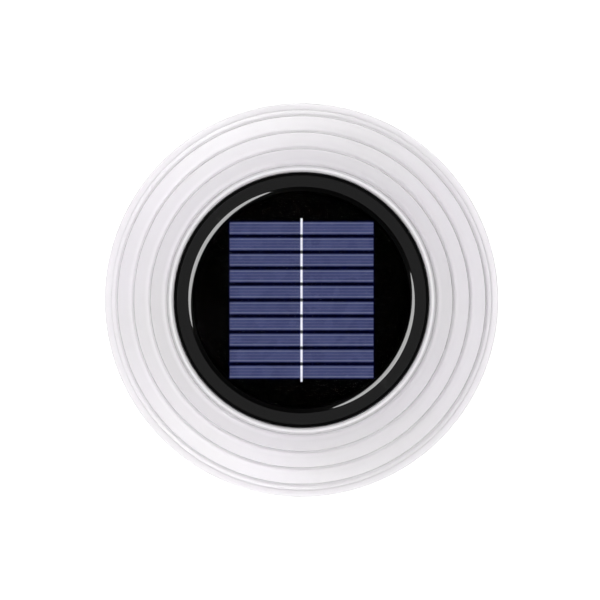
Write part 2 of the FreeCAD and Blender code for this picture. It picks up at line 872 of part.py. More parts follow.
def battery_contact():
    width = min(contact_width, 2 * battery_radius)
    size = (contact_thickness, width, width)
    return block(size, (battery_room - contact_thickness) / 2, 0, battery_axis_z - width / 2)


def battery_spring():
    """Coil that presses on the cell's flat end, on its own plate."""
    width = min(contact_width, 2 * battery_radius)
    plate = block((contact_thickness, width, width), 0, 0, -width / 2)
    room = spring_length - spring_wire - 2 * spring_sink
    coil_path = Part.makeHelix(room / spring_turns, room, spring_radius)
    profile = Part.Wire(Part.makeCircle(spring_wire / 2, Vector(spring_radius, 0, 0), Vector(0, 1, 0)))
    coil = Part.Wire(coil_path).makePipeShell([profile], True, True)
    coil.rotate(Vector(0, 0, 0), Vector(0, 1, 0), 90)
    coil.translate(Vector(contact_thickness / 2 + spring_wire / 2 - spring_sink, 0, 0))
    spring = plate.fuse(coil)
    spring.translate(Vector(-(battery_room - contact_thickness) / 2, 0, battery_axis_z))
    return spring


def diffuser_dome():
    """Frosted dome over the board; four ears in its foot share the board's screws."""
    outer = [
        (board_radius, board_top),
        (board_radius, dome_skirt_top, dome_skirt_bend),
        (dome_shoulder_radius, dome_top - dome_crown_drop, dome_shoulder_bend),
        (dome_hole_radius, dome_top),
    ]
    inner = [
        (dome_hole_radius, dome_top - dome_wall),
        (dome_shoulder_radius - dome_wall, dome_top - dome_crown_drop - dome_wall, dome_shoulder_bend),
        (board_radius - dome_wall, dome_skirt_top - dome_wall / 2, dome_skirt_bend),
        (board_radius - dome_wall, board_top),
    ]
    dome = lathe(outer + inner)
    ears = [
        rod(dome_ear_radius, board_top, board_top + dome_wall, *on_ring(board_screw_ring, a))
        for a in board_screw_angles
    ]
    inside = rod(board_radius - dome_wall / 2, board_top, dome_top)
    ears = [e.common(inside) for e in ears]
    holes = [
        clearance_hole(board_top, board_top + dome_wall, board_screw_ring, a)
        for a in board_screw_angles
    ]
    return joined(dome, ears).cut(holes)


def solar_lead(side):
    """One lead from the cap's grommet, through the dome's hole, to the plug on the board."""
    top = Vector(side * lead_spacing / 2, 0, grommet_bottom + lead_reach)
    first = Vector(top.x, 0, dome_top - lead_dip)
    end = Vector(header_place[0] + top.x, header_place[1], plug_bottom + plug_size[2])
    second = Vector(end.x, end.y, (first.z + end.z) / 2)
    path = pipe_path([top, first, second, end])
    return wire_solid(path, lead_radius, top, Vector(0, 0, -1))


# ---- Assembly ------------------------------------------------------------------------------------
pieces = {
    "upper_shell": upper_shell(),
    "lower_shell": lower_shell(),
    "cap_body": cap_body(),
    "cap_bezel": cap_bezel(),
    "cap_seal": cap_seal(),
    "solar_window": solar_window(),
    "window_gasket": window_gasket(),
    "panel_board": panel_board(),
    "cell_ribbons": cell_ribbons(),
    "lead_grommet": lead_grommet(),
    "button_boot": button_boot(),
    "boot_retainer": boot_retainer(),
    "retainer_screws": retainer_screws(),
    "button_key": button_key(),
    "power_switch": power_switch(),
    "switch_plunger": switch_plunger(),
    "tether_bail": tether_bail(),
    "circuit_board": circuit_board(),
    "board_screws": board_screws(),
    "controller_chip": controller_chip(),
    "boost_coil": boost_coil(),
    "storage_capacitor": storage_capacitor(),
    "lead_header": lead_header(),
    "lead_plug": lead_plug(),
    "battery_holder": battery_holder(),
    "battery_cell": battery_cell(),
    "battery_contact": battery_contact(),
    "battery_spring": battery_spring(),
    "diffuser_dome": diffuser_dome(),
    "solar_lead_red": solar_lead(1),
    "solar_lead_black": solar_lead(-1),
}
for index in range(cell_count):
    pieces[f"solar_cell_{index + 1:02d}"] = solar_cell(index)
for index, angle in enumerate(led_angles):
    pieces[f"lamp_led_{index + 1}"] = led(angle)

os.makedirs("parts", exist_ok=True)
for name, shape in pieces.items():
    valid = shape.isValid() and all(s.isClosed() for s in shape.Shells)
    print(f"{name:20s} solids {len(shape.Solids)}  volume {shape.Volume:9.1f}  valid {valid}")
    shape.exportStep(f"parts/{name}.step")
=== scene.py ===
# %% [markdown]
# # A floating pool light, from a fixed frame to finished surfaces
#
# The light is a terraced milky float, 110 mm across, with a black solar cap twisted into its neck. Its
# sizes, joints and hidden parts come from a mechanical model that is loaded first and never changed. The
# lesson makes the surfaces that are seen: it turns round parts from outlines, sweeps wires along paths and
# builds each finish from shader nodes. Turning is the natural way here, because the real shells, cap ring
# and window come out of round moulds, and one outline then fixes the whole shape.

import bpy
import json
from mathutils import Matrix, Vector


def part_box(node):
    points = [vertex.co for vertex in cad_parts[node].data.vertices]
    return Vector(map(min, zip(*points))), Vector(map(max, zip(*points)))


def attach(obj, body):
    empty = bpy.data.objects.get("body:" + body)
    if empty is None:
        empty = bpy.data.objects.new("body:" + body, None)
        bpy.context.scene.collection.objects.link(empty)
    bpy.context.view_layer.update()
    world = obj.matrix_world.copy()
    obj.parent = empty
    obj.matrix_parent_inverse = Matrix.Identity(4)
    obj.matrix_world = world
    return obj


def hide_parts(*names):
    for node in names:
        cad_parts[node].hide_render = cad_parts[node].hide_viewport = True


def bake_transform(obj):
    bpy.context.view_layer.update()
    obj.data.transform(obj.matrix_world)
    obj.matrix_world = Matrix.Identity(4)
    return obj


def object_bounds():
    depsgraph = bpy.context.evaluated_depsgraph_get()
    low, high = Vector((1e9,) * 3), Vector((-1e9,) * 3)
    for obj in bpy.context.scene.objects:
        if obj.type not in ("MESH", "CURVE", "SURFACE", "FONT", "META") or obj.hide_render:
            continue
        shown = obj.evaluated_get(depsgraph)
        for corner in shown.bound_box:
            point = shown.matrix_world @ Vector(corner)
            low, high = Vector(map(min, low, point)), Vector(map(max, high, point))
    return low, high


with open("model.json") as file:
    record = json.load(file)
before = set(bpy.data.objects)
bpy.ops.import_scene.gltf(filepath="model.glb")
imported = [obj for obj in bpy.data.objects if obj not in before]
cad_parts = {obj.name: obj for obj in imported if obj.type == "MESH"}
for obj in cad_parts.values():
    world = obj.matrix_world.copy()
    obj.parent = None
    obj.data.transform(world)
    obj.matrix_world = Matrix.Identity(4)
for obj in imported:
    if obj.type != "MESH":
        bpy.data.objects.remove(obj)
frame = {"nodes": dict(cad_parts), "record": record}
cad_low, cad_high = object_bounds()
print("the frame's box, mm:", [round(1000 * (b - a), 2) for a, b in zip(cad_low, cad_high)])

# %% [markdown]
# ## Units and measures
#
# The frame is in metres. A moulded part is easier to think about in millimetres, so outlines are written in
# millimetres and turned into metres once, when the mesh is made. Each driving size is read from the frame's
# own pieces, so that a surface made here always meets its neighbours.

# %% Measures taken from the frame
import json
import math

import bmesh
import bpy
import numpy as np

MM = 0.001


def corners_of(node):
    """All vertices of a frame piece in millimetres, one row each."""
    mesh = frame["nodes"][node].data
    places = np.zeros(3 * len(mesh.vertices))
    mesh.vertices.foreach_get("co", places)
    return places.reshape(-1, 3) / MM


def reach(node):
    """Largest distance of a piece from the axis, in millimetres."""
    return float(np.hypot(*corners_of(node)[:, :2].T).max())


def low_high(node):
    """Lowest and highest level of a piece, in millimetres."""
    heights = corners_of(node)[:, 2]
    return float(heights.min()), float(heights.max())


# The widest radius is the distance to the box's nearest side, so that the float stays inside the box.
float_radius = float(np.abs([cad_low[:2], cad_high[:2]]).min()) / MM
upper_rim_radius = reach("upper_shell")
bezel_radius = reach("cap_bezel")
parting_z = low_high("lower_shell")[1]
lip_top = low_high("upper_shell")[1]
cap_top = low_high("cap_bezel")[1]
window_bottom, window_top = low_high("solar_window")
print(f"radii {float_radius:.2f} {upper_rim_radius:.2f} {bezel_radius:.2f}, top {cap_top:.2f} mm")

# %% [markdown]
# ## Outlines
#
# A turned part is drawn as half of its section: corner points with a fillet each, as a toolmaker dimensions a
# mould. A hand-modelled mesh with bevels could give the same look, but a fillet given by its radius stays
# right when a size changes. Every fillet is a true arc that touches both of its straights.

# %% Outline with tangent arcs
FILLET_SHARE = 0.45  # most of a straight that a fillet may take
ARC_STEPS = 8
HOLD = 0.05  # distance from a straight's end to the point that holds its shading, mm
NO_LENGTH = 1e-9


def rounded(corners):
    """Closed outline through (radius, height, fillet) corners.

    A fillet f on a corner whose sides meet at twice the angle h starts f / tan(h) before the corner. Its
    centre lies f / sin(h) along the bisector, and its points swing evenly from one tangent point's
    direction to the other's.
    """
    table = np.array([tuple(c) + (0.0,) * (3 - len(c)) for c in corners], float)
    places = table[:, :2]
    neighbours = zip(places, np.roll(places, 1, 0), np.roll(places, -1, 0), table[:, 2])
    outline = []
    for here, before, after, fillet in neighbours:
        back, on = before - here, after - here
        shorter = min(np.linalg.norm(back), np.linalg.norm(on))
        back, on = back / np.linalg.norm(back), on / np.linalg.norm(on)
        half = math.acos(np.clip(back @ on, -1, 1)) / 2
        setback = min(fillet / math.tan(half), FILLET_SHARE * shorter) if fillet else 0.0
        if not setback:
            outline.append(here[None])
            continue
        radius = setback * math.tan(half)
        centre = here + (back + on) / np.linalg.norm(back + on) * radius / math.sin(half)
        first = (here + back * setback - centre) / radius
        last = (here + on * setback - centre) / radius
        swing = math.pi - 2 * half
        t = np.linspace(0, 1, ARC_STEPS + 1)[:, None]
        blend = np.sin((1 - t) * swing) * first + np.sin(t * swing) * last
        outline.append(centre + radius * blend / math.sin(swing))
    return steadied(np.vstack(outline))


def steadied(outline):
    """Adds a point HOLD inside both ends of each long straight, so that its shading stays flat."""
    on = np.roll(outline, -1, 0) - outline
    length = np.linalg.norm(on, axis=1, keepdims=True)
    step = on / np.maximum(length, NO_LENGTH) * HOLD
    triples = np.stack([outline, outline + step, outline + on - step], 1)
    keep = np.repeat(length > 4 * HOLD, 3, 1)
    keep[:, 0] = True
    return triples[keep]


# %% [markdown]
# ## Closing and linking a mesh
#
# A moulded part is one closed skin. Where a grid shrinks to a point or a line, its vertices lie on each
# other, so they are merged there, and what is left without a face is dropped. Edges could be marked sharp by
# hand; a limit on the angle does the same for every piece and leaves the fillets smooth.

# %% Tidy a mesh
SHARP = math.radians(38)  # a fold sharper than this keeps its edge
MERGE = 1e-7
TOO_SHORT = 1e-8


def tidy_mesh(name, mesh):
    """Merges doubled points, drops what has no face, turns the faces outwards and links the object."""
    work = bmesh.new()
    work.from_mesh(mesh)
    bmesh.ops.remove_doubles(work, verts=work.verts, dist=MERGE)
    bmesh.ops.dissolve_degenerate(work, edges=work.edges, dist=TOO_SHORT)
    bmesh.ops.delete(work, geom=[e for e in work.edges if not e.link_faces], context="EDGES")
    bmesh.ops.delete(work, geom=[v for v in work.verts if not v.link_edges], context="VERTS")
    bmesh.ops.recalc_face_normals(work, faces=work.faces)
    if work.calc_volume(signed=True) < 0:
        bmesh.ops.reverse_faces(work, faces=work.faces)
    open_edges = sum(not e.is_manifold for e in work.edges)
    print(f"{name}: {open_edges} open edges, {work.calc_volume() / MM**3:.0f} cubic mm")
    work.to_mesh(mesh)
    work.free()
    mesh.polygons.foreach_set("use_smooth", np.ones(len(mesh.polygons), bool))
    mesh.set_sharp_from_angle(angle=SHARP)
    piece = bpy.data.objects.new(name, mesh)
    bpy.context.scene.collection.objects.link(piece)
    return piece


# %% [markdown]
# ## Skins
#
# Every new surface is a grid of points, row by column. The faces could be added one by one; here their corner
# numbers come from two whole arrays of rows and columns, which is quick and the same for every shape.

# %% From a grid of points to a mesh
def skin(name, grid, rows_close=True):
    """Mesh over a grid of points of shape (rows, columns, 3), in millimetres.

    Face (i, j) joins point (i, j) with its neighbours in the next row and column. Columns always close into
    a ring; rows close only where the outline is a loop.
    """
    rows, columns = grid.shape[:2]
    i = np.arange(rows if rows_close else rows - 1)[:, None]
    j = np.arange(columns)[None, :]
    i_on, j_on = (i + 1) % rows, (j + 1) % columns
    quads = np.stack([i * columns + j, i * columns + j_on, i_on * columns + j_on, i_on * columns + j], -1)
    quads = quads.reshape(-1, 4)
    mesh = bpy.data.meshes.new(name)
    mesh.vertices.add(rows * columns)
    mesh.vertices.foreach_set("co", (grid * MM).ravel())
    mesh.loops.add(quads.size)
    mesh.loops.foreach_set("vertex_index", quads.ravel())
    mesh.polygons.add(len(quads))
    mesh.polygons.foreach_set("loop_start", np.arange(0, quads.size, 4))
    mesh.update(calc_edges=True)
    return tidy_mesh(name, mesh)


# %% [markdown]
# ## Turning
#
# The shells, the cap ring, the window, the seal and the boot are all round. A screw modifier would turn an
# outline too, but the formula is one line, and the points are then known exactly.

# %% Surface of revolution
AROUND = 288


def turned(name, outline, around=AROUND):
    """Surface of revolution: outline point i at radius r and height z goes to (r cos a, r sin a, z)."""
    angle = np.linspace(0, 2 * np.pi, around, endpoint=False)
    r, z = outline[:, :1], outline[:, 1:]
    grid = np.stack([r * np.cos(angle), r * np.sin(angle), z + 0 * angle], -1)
    return skin(name, grid)


# %% [markdown]
# ## Placing a piece
#
# A piece belongs to the body that it moves with, and it stands for the frame pieces that
# it hides. The two calls always go together, so one helper makes them.

# %% Ride and replace
def placed(piece, body, slot, *replaced):
    """Rides a new piece on its body and hides the frame pieces that it stands for. Its slot is not used."""
    if body:
        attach(piece, body)
    if replaced:
        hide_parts(*replaced)
    print(f"{piece.name}: {len(piece.data.polygons)} faces")
    return piece


# %% [markdown]
# ## The upper shell
#
# The upper shell is a milky moulding with four steps. Each step is a nearly level land, a sharp outer edge, a
# steep riser and a hollow cove that runs into the next land. The cove is what catches the light, and the
# riser is the thin dark line inside it. The outline walks down the steps in a loop, so the rhythm is exact.

# %% Upper shell sizes
wall = 1.8
upper_risers = 4
riser_draft = 0.25
land_falls = (0.25, 0.40, 0.60, 0.20)  # the lands lean out more and more
land_fall = 0.45
rim_land = 1.9
rim_wall_height = 1.6
cove = 0.9
edge = 0.2
bezel_gap = 0.2
lip_width = 1.75
lip_bore = bezel_radius + bezel_gap
lip_radius = lip_bore + lip_width
lip_round = 0.15
lip_roll = 0.5
seat_depth = 1.5
seat_step = 1.95
seat_round = 0.2
neck_depth = 12.0
seat_z = lip_top - seat_depth
neck_bore = lip_bore - seat_step
neck_bottom = lip_top - neck_depth
upper_pitch = (upper_rim_radius - rim_land - lip_radius) / (upper_risers - 1)
upper_riser = (lip_top - parting_z - rim_wall_height - sum(land_falls)) / upper_risers
print(f"upper steps: {upper_pitch:.2f} wide, {upper_riser:.2f} mm high")


# %% [markdown]
# ## The upper shell's outline
#
# The inside of a moulding follows the outside at one wall's distance. Offsetting the outline by a tool could
# fold it over in the coves, so the inside is written as its own steps, each a wall in and a wall down.

# %% Upper shell
def upper_outline():
    """Steps outside from lip to rim, then the inside offset by the wall, then the neck tube and the seat."""
    outside = [(lip_bore, lip_top, lip_round), (lip_radius, lip_top, lip_roll)]
    inside = []
    radius, level = lip_radius, lip_top
    for step, fall in enumerate(land_falls):
        foot = level - upper_riser
        end = upper_rim_radius if step == upper_risers - 1 else radius + upper_pitch
        outside += [(radius + riser_draft, foot, cove), (end, foot - fall, edge)]
        if step:
            inside += [(radius - wall, level - wall), (radius + riser_draft - wall, foot - wall)]
        radius, level = end, foot - fall
    outside.append((upper_rim_radius, parting_z))
    inside += [(upper_rim_radius - wall, level - wall), (upper_rim_radius - wall, parting_z)]
    neck = [(neck_bore + wall, lip_top - upper_riser - wall), (neck_bore + wall, neck_bottom)]
    neck += [(neck_bore, neck_bottom), (neck_bore, seat_z, seat_round), (lip_bore, seat_z, seat_round)]
    return rounded(outside + inside[::-1] + neck)


upper_shell = turned("milky_upper_shell", upper_outline())
placed(upper_shell, "float", "milky_shell", "upper_shell")

# %% [markdown]
# ## The lower shell
#
# The lower shell carries the widest rim, which shows as a thin ledge round the upper shell. Under it five
# steps run in to a foot ring, and inside the foot a shallow recess holds the button and the tether bail. It
# could be the upper outline mirrored, but a mould needs every land to drain outwards when the light floats,
# so its lands lean the other way.

# %% Lower shell sizes
lower_risers = 5
lower_rim_height = 5.0
lower_rim_bottom = parting_z - lower_rim_height
ledge_edge = 0.4
base_radius = 33.0
foot_width = 3.6
recess_depth = 4.0
recess_round = 0.6
rim_edge = 0.7
floor_top = recess_depth + wall
guard_radius = 9.0
guard_height = 1.6
guard_round = 0.4
guard_face = recess_depth - guard_height
button_hole = 6.9
lower_pitch = (float_radius - base_radius) / lower_risers
lower_step = lower_rim_bottom / lower_risers
print(f"lower steps: {lower_pitch:.2f} wide, {lower_step:.2f} mm high")


# %% [markdown]
# ## The lower shell's outline
#
# One loop writes the steps, and the base is a short list of corners. A boolean could cut the recess and the
# button's hole out of a plain cup; in a turned part they are only more corners, with no cut to clean up.

# %% Lower shell
def lower_outline():
    """Rim band, five steps inwards, foot ring, recess with the guard ring, then the inside of the wall."""
    outside = [(float_radius, parting_z, ledge_edge), (float_radius, lower_rim_bottom, rim_edge)]
    inside = []
    radius, level = float_radius, lower_rim_bottom
    for step in range(lower_risers):
        end, foot = radius - lower_pitch, level - lower_step
        last = step == lower_risers - 1
        outside.append((end + riser_draft, level - land_fall, cove))
        outside.append((end, foot, rim_edge if last else edge))
        if step:
            inside.append((radius - wall, level + wall))
        inside.append((end + riser_draft - wall, level - land_fall + wall))
        radius, level = end, foot
    recess_radius = base_radius - foot_width
    base = [
        (recess_radius, 0, rim_edge),
        (recess_radius, recess_depth, recess_round),
        (guard_radius, recess_depth, guard_round),
        (guard_radius, guard_face, guard_round),
        (button_hole, guard_face, guard_round),
        (button_hole, floor_top),
    ]
    rim_inside = [(upper_rim_radius - wall, lower_rim_bottom + wall), (upper_rim_radius - wall, parting_z)]
    return rounded(outside + base + [(base_radius - wall, floor_top)] + inside[::-1] + rim_inside)


lower_shell = turned("milky_lower_shell", lower_outline())
placed(lower_shell, "float", "milky_shell", "lower_shell")

# %% [markdown]
# ## The bail's lugs
#
# Two ears stand down from the recess and hold the bail's pivots. A box with a bevel would do, but the real
# ear is rounded about the pivot, so its section is half a circle on straight sides. Rows of the grid shrink
# the section at both faces, which gives the small moulded round.

# %% Two rounded ears
bail_low, bail_high = (np.array(c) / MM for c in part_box("tether_bail"))
bail_axis_z = (bail_low[2] + bail_high[2]) / 2
bail_tip = bail_high[0]
bail_wire = (bail_high[2] - bail_low[2]) / 2
ear_wall = 0.76
ear_half_width = bail_wire + ear_wall
ear_inner = 21.8
ear_outer = 23.8
ear_round = 0.25


def ear(side):
    """Half circle of ear_half_width round the pivot, straight sides up into the floor of the recess.

    Towards both faces the section shrinks about its middle by a quarter circle of ear_round.
    """
    swing = np.linspace(np.pi, 2 * np.pi, 25)
    section = np.column_stack([np.cos(swing), np.sin(swing)]) * ear_half_width
    top = recess_depth + wall / 2 - bail_axis_z
    sides = np.array([[ear_half_width, top], [-ear_half_width, top]])
    section = np.vstack([section, sides])
    middle = np.array([0.0, (top - ear_half_width) / 2])
    t = np.linspace(0, np.pi / 2, 5)
    shrink = 1 - ear_round / ear_half_width * (1 - np.sin(t))
    x = ear_inner + ear_round * (1 - np.cos(t))
    x_far = ear_outer - ear_round * (1 - np.cos(t[::-1]))
    scales = np.concatenate([[0.0], shrink, shrink[::-1], [0.0]])
    places = np.concatenate([[ear_inner], x, x_far, [ear_outer]])
    flat = middle + (section - middle)[None] * scales[:, None, None]
    across = np.broadcast_to(side * places[:, None], flat.shape[:2])
    grid = np.stack([across, flat[..., 0], flat[..., 1] + bail_axis_z], -1)
    return skin("bail_lug_right" if side > 0 else "bail_lug_left", grid, rows_close=False)


ears = [placed(ear(side), "float", "milky_shell") for side in (1, -1)]

# %% [markdown]
# ## The cap ring
#
# The black ring clamps the window. Its face is flat with a fine spark texture, its outer side drops straight
# into a deep gap against the lip, which reads as a black line, and its inner edge is a polished bevel, very
# slightly crowned, so that a reflected lamp narrows to a crescent along it.

# %% Cap ring
bezel_bottom = window_bottom
flange_height = 0.8
flange_width = 0.8
flange_edge = 0.15
face_edge = 0.3
rim_to_bevel = 3.85
bevel_width = 1.2
bevel_lift = 0.25  # the bevel ends this far above the window
bevel_crown = -0.04
seat_width = 1.0
flange_top = bezel_bottom + flange_height
ring_radius = bezel_radius - flange_width
face_inner = bezel_radius - rim_to_bevel
window_edge = face_inner - bevel_width
seat_radius = window_edge + seat_width


def ring_outline():
    """Flange, side, face and seat are straights; the bevel is a parabola bevel_crown over its chord."""
    bevel_top = np.array([face_inner, cap_top])
    bevel_foot = np.array([window_edge, window_top + bevel_lift])
    t = np.linspace(0, 1, 15)[:, None]
    chord = bevel_foot - bevel_top
    out = np.array([chord[1], -chord[0]]) / np.linalg.norm(chord)
    bevel = bevel_top + chord * t + out * bevel_crown * 4 * t * (1 - t)
    outer = rounded(
        [(seat_radius, bezel_bottom), (bezel_radius, bezel_bottom), (bezel_radius, flange_top, flange_edge),
         (ring_radius, flange_top), (ring_radius, cap_top, face_edge), (face_inner, cap_top)]
    )
    outer = outer[: 1 + int(np.argmin(np.hypot(*(outer - [face_inner, cap_top]).T)))]
    seat = np.array([[window_edge, window_top], [seat_radius, window_top]])
    return steadied(np.vstack([outer[:-1], bevel, seat]))


bezel = placed(turned("black_cap_ring", ring_outline(), around=320), "solar_cap", "black_bezel", "cap_bezel")

# %% [markdown]
# ## The window
#
# The window is a round acrylic plate with its edge just broken. It is a solid and not a single sheet, because
# light has to bend on the way in and again on the way out.

# %% Window
window_radius = reach("solar_window")
window_round = 0.12
window_outline = rounded(
    [(0, window_bottom), (window_radius, window_bottom, window_round),
     (window_radius, window_top, window_round), (0, window_top)]
)
window = placed(turned("clear_window", window_outline), "solar_cap", "clear_window", "solar_window")

# %% [markdown]
# ## The sealing ring
#
# A round-section rubber ring lies in the cap's groove. It is a torus with a faint flash line round its
# middle, as a compression mould leaves it.

# %% Sealing ring
seal_low, seal_high = low_high("cap_seal")
seal_wire = (seal_high - seal_low) / 2
seal_middle = reach("cap_seal") - seal_wire
flash_height = 0.03
flash_width = 0.12
body_radius = seal_wire - flash_height


def seal_outline():
    """Circle of body_radius; across, the flash adds flash_height exp(-(sin b / flash_width)^2) to it."""
    b = np.linspace(0, 2 * np.pi, 72, endpoint=False)
    flash = flash_height * np.exp(-((np.sin(b) / flash_width) ** 2))
    middle_z = (seal_low + seal_high) / 2
    across = seal_middle + (body_radius + flash) * np.cos(b)
    return np.column_stack([across, middle_z + body_radius * np.sin(b)])


seal = placed(turned("sealing_ring", seal_outline()), "seal_carrier", "seal_rubber", "cap_seal")

# %% [markdown]
# ## The solar strips
#
# Each strip is a thin silicon slab with printed silver fingers along it. The fingers could be only colour,
# but a printed finger stands a little proud, so the strip's section carries a low ridge for each, and the
# finish can read the ridge from its height.

# %% Ten strips with raised fingers
FINGERS = 4
FINGER_INSET = 0.5
SAWN_EDGE = 0.06
FINGER_WIDTH = 0.3
FINGER_POINTS = 181
END_SHRINK = 0.985
END_ROUND = 0.05
FINGER_RISE = 0.02
INNER_FINGER = 0.35  # the inner fingers are printed thinner, as a share of the outer ones
strip_names = sorted(n for n in frame["nodes"] if n.startswith("solar_cell_"))


def strip(node):
    """Section across the strip: a flat top with a cosine ridge at each finger, and a flat bottom."""
    low, high = (np.array(c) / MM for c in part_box(node))
    y = np.linspace(low[1] + SAWN_EDGE, high[1] - SAWN_EDGE, FINGER_POINTS)
    lines = np.linspace(low[1] + FINGER_INSET, high[1] - FINGER_INSET, FINGERS)
    away = np.abs(y[:, None] - lines[None])
    rise = FINGER_RISE * np.array([1.0, INNER_FINGER, INNER_FINGER, 1.0])
    ridge = (rise * 0.5 * (1 + np.cos(np.pi * np.clip(away / (FINGER_WIDTH / 2), 0, 1)))).sum(1)
    top = np.column_stack([y, high[2] - FINGER_RISE + ridge])
    y_back = y[::-20]
    bottom = np.column_stack([y_back, np.full(y_back.size, low[2])])
    section = np.vstack([top, bottom])
    middle = np.array([(low[1] + high[1]) / 2, (low[2] + high[2]) / 2])
    shrink = np.array([0.0, END_SHRINK, 1.0, 1.0, END_SHRINK, 0.0])
    x = np.array([low[0], low[0], low[0] + END_ROUND, high[0] - END_ROUND, high[0], high[0]])
    flat = middle + (section - middle)[None] * shrink[:, None, None]
    across = np.broadcast_to(x[:, None], flat.shape[:2])
    grid = np.stack([across, flat[..., 0], flat[..., 1]], -1)
    return skin(node.replace("solar_cell", "silicon_strip"), grid, rows_close=False)


strips = [placed(strip(node), "solar_cap", "silicon_cell", node) for node in strip_names]
strip_top = low_high(strip_names[0])[1]
strip_edges = np.array([[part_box(n)[0][1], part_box(n)[1][1]] for n in strip_names]) / MM

# %% [markdown]
# ## The tinned ribbon
#
# A flat ribbon joins the strips in series. It lies on each strip and dips into the gap before the next, where
# its finish paints shade, so the gaps stay dark. Ten short pieces could be laid end to end; one ribbon whose
# height is a smooth function of y has no joints to hide.

# %% Ribbon that dips between strips
ribbon_low, ribbon_high = (np.array(c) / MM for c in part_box("cell_ribbons"))
RIBBON_SHARE = 0.37  # flat half width as a share of the whole; its rolled edges are rounded off
RIBBON_ROWS = 900
ribbon_half = RIBBON_SHARE * (ribbon_high[0] - ribbon_low[0])
ribbon_thick = 0.1
ribbon_crown = 0.02
ribbon_dip = 0.22
ribbon_slope = 0.24
solder = 0.005


def ribbon():
    """Height over a strip is its top; in a gap it sinks by ribbon_dip, with a smooth step at each side."""
    y = np.linspace(ribbon_low[1], ribbon_high[1], RIBBON_ROWS)
    inside = np.minimum(y[:, None] - strip_edges[None, :, 0], strip_edges[None, :, 1] - y[:, None]).max(1)
    step = np.clip(0.5 + inside / ribbon_slope, 0, 1)
    ends = (y < strip_edges[0, 0]) | (y > strip_edges[-1, 1])
    lift = np.where(ends, 1.0, step * step * (3 - 2 * step))
    base = strip_top + solder - ribbon_dip * (1 - lift)
    bulge = np.linspace(-1, 1, 9)
    top = np.stack([bulge * ribbon_half, ribbon_crown * (1 - bulge**2)], -1)
    top = top + [0, ribbon_thick - ribbon_crown]
    section = np.vstack([top, [[ribbon_half, 0], [-ribbon_half, 0]]])
    grid = np.stack(
        [np.broadcast_to(section[:, 0], (len(y), len(section))),
         np.broadcast_to(y[:, None], (len(y), len(section))),
         base[:, None] + section[None, :, 1]], -1
    )
    cap = np.broadcast_to(grid.mean(1, keepdims=True), grid.shape)
    return skin("tinned_ribbon", np.concatenate([cap[:1], grid, cap[-1:]]), rows_close=False)


ribbon_piece = placed(ribbon(), "solar_cap", "tinned_ribbon", "cell_ribbons")

# %% [markdown]
# ## The button's boot
#
# A soft silicone cup closes the button hole. It is turned like the shells, with a rolled wall and a crowned
# face. The face has to move with the key and the flange with the float, so the piece is left on no body.

# %% Boot
boot_low, boot_top = low_high("button_boot")
boot_flange_radius = reach("button_boot")
boot_gap = 0.3
boot_wall = 1.0
boot_pad = 1.5
boot_crown = 0.3
boot_face_edge = 0.9
boot_shoulder = 0.7
boot_roll, boot_root, boot_mouth = 0.5, 0.1, 0.2
boot_inside_round = 0.3
boot_radius = button_hole - boot_gap
boot_bore = boot_radius - boot_wall
boot_pad_top = boot_low + boot_pad


def boot_outline():
    """Face crowned as the square of the radius, then the rolled edge, wall, flange and inside of the cup."""
    r = np.linspace(0, boot_radius - boot_face_edge, 12)
    face = np.column_stack([r, boot_low + boot_crown * (r / boot_radius) ** 2])
    edge_z = boot_low + boot_crown
    rest = rounded(
        [(boot_radius - boot_shoulder, edge_z), (boot_radius, edge_z, boot_roll),
         (boot_radius, floor_top, boot_root), (boot_flange_radius, floor_top),
         (boot_flange_radius, boot_top), (boot_bore, boot_top, boot_mouth),
         (boot_bore, boot_pad_top, boot_inside_round), (0, boot_pad_top)]
    )
    last = 1 + int(np.argmin(np.hypot(rest[:, 0], rest[:, 1] - boot_pad_top)))
    return np.vstack([face, rest[1:last]])


boot = turned("silicone_boot", boot_outline(), around=160)
placed(boot, None, "boot_silicone", "button_boot")
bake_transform(boot)

# %% [markdown]
# ## Sweeping a wire
#
# The raised mark and the tether bail are round wires. A bevelled curve would do for either, but a section
# carried along computed points gives closed, domed ends and rings that stand exactly square to the path.

# %% Round wire along a path
DOME = 0.35  # height of a wire's end dome, as a share of its radius


def swept(name, path, radius, normal, sides=28):
    """Round wire along a flat path.

    Ring i stands square to the path: its points are path + radius (cos b side + sin b normal), where side is
    the direction across the path in its own plane. Each end closes in a small dome.
    """
    path = np.asarray(path, float)
    along = np.gradient(path, axis=0)
    along /= np.linalg.norm(along, axis=1, keepdims=True)
    side = np.cross(along, normal)
    b = np.linspace(0, 2 * np.pi, sides, endpoint=False)[None, :, None]
    ring = np.cos(b) * side[:, None] + np.sin(b) * np.asarray(normal, float)[None, None]
    body = path[:, None] + radius * ring
    t = np.linspace(0, np.pi / 2, 6)[:-1][:, None, None]
    start = path[0] + radius * (np.sin(t) * ring[0] - DOME * np.cos(t) * along[0])
    end = path[-1] + radius * (np.sin(t) * ring[-1] + DOME * np.cos(t) * along[-1])
    return skin(name, np.concatenate([start, body, end[::-1]]), rows_close=False)


# %% [markdown]
# ## The power mark
#
# A ring with a gap and a stroke through it is the plain sign for a power button. It is moulded proud of the
# face, so it is made as two short wires half sunk in it, and it rides with the key.

# %% Raised mark
mark_radius = 2.3
mark_wire = 0.28
mark_gap = math.radians(38)
mark_sink = 0.02
mark_sides = 16
stroke_start, stroke_past = 0.5, 0.7
mark_z = boot_low + mark_sink


def arc_mark():
    """Open ring: an arc of mark_radius that leaves a gap at the top for the stroke."""
    t = np.linspace(np.pi / 2 + mark_gap, np.pi / 2 + 2 * np.pi - mark_gap, 90)
    path = np.column_stack([mark_radius * np.cos(t), mark_radius * np.sin(t), np.full(t.size, mark_z)])
    return swept("button_mark_ring", path, mark_wire, (0, 0, 1), sides=mark_sides)


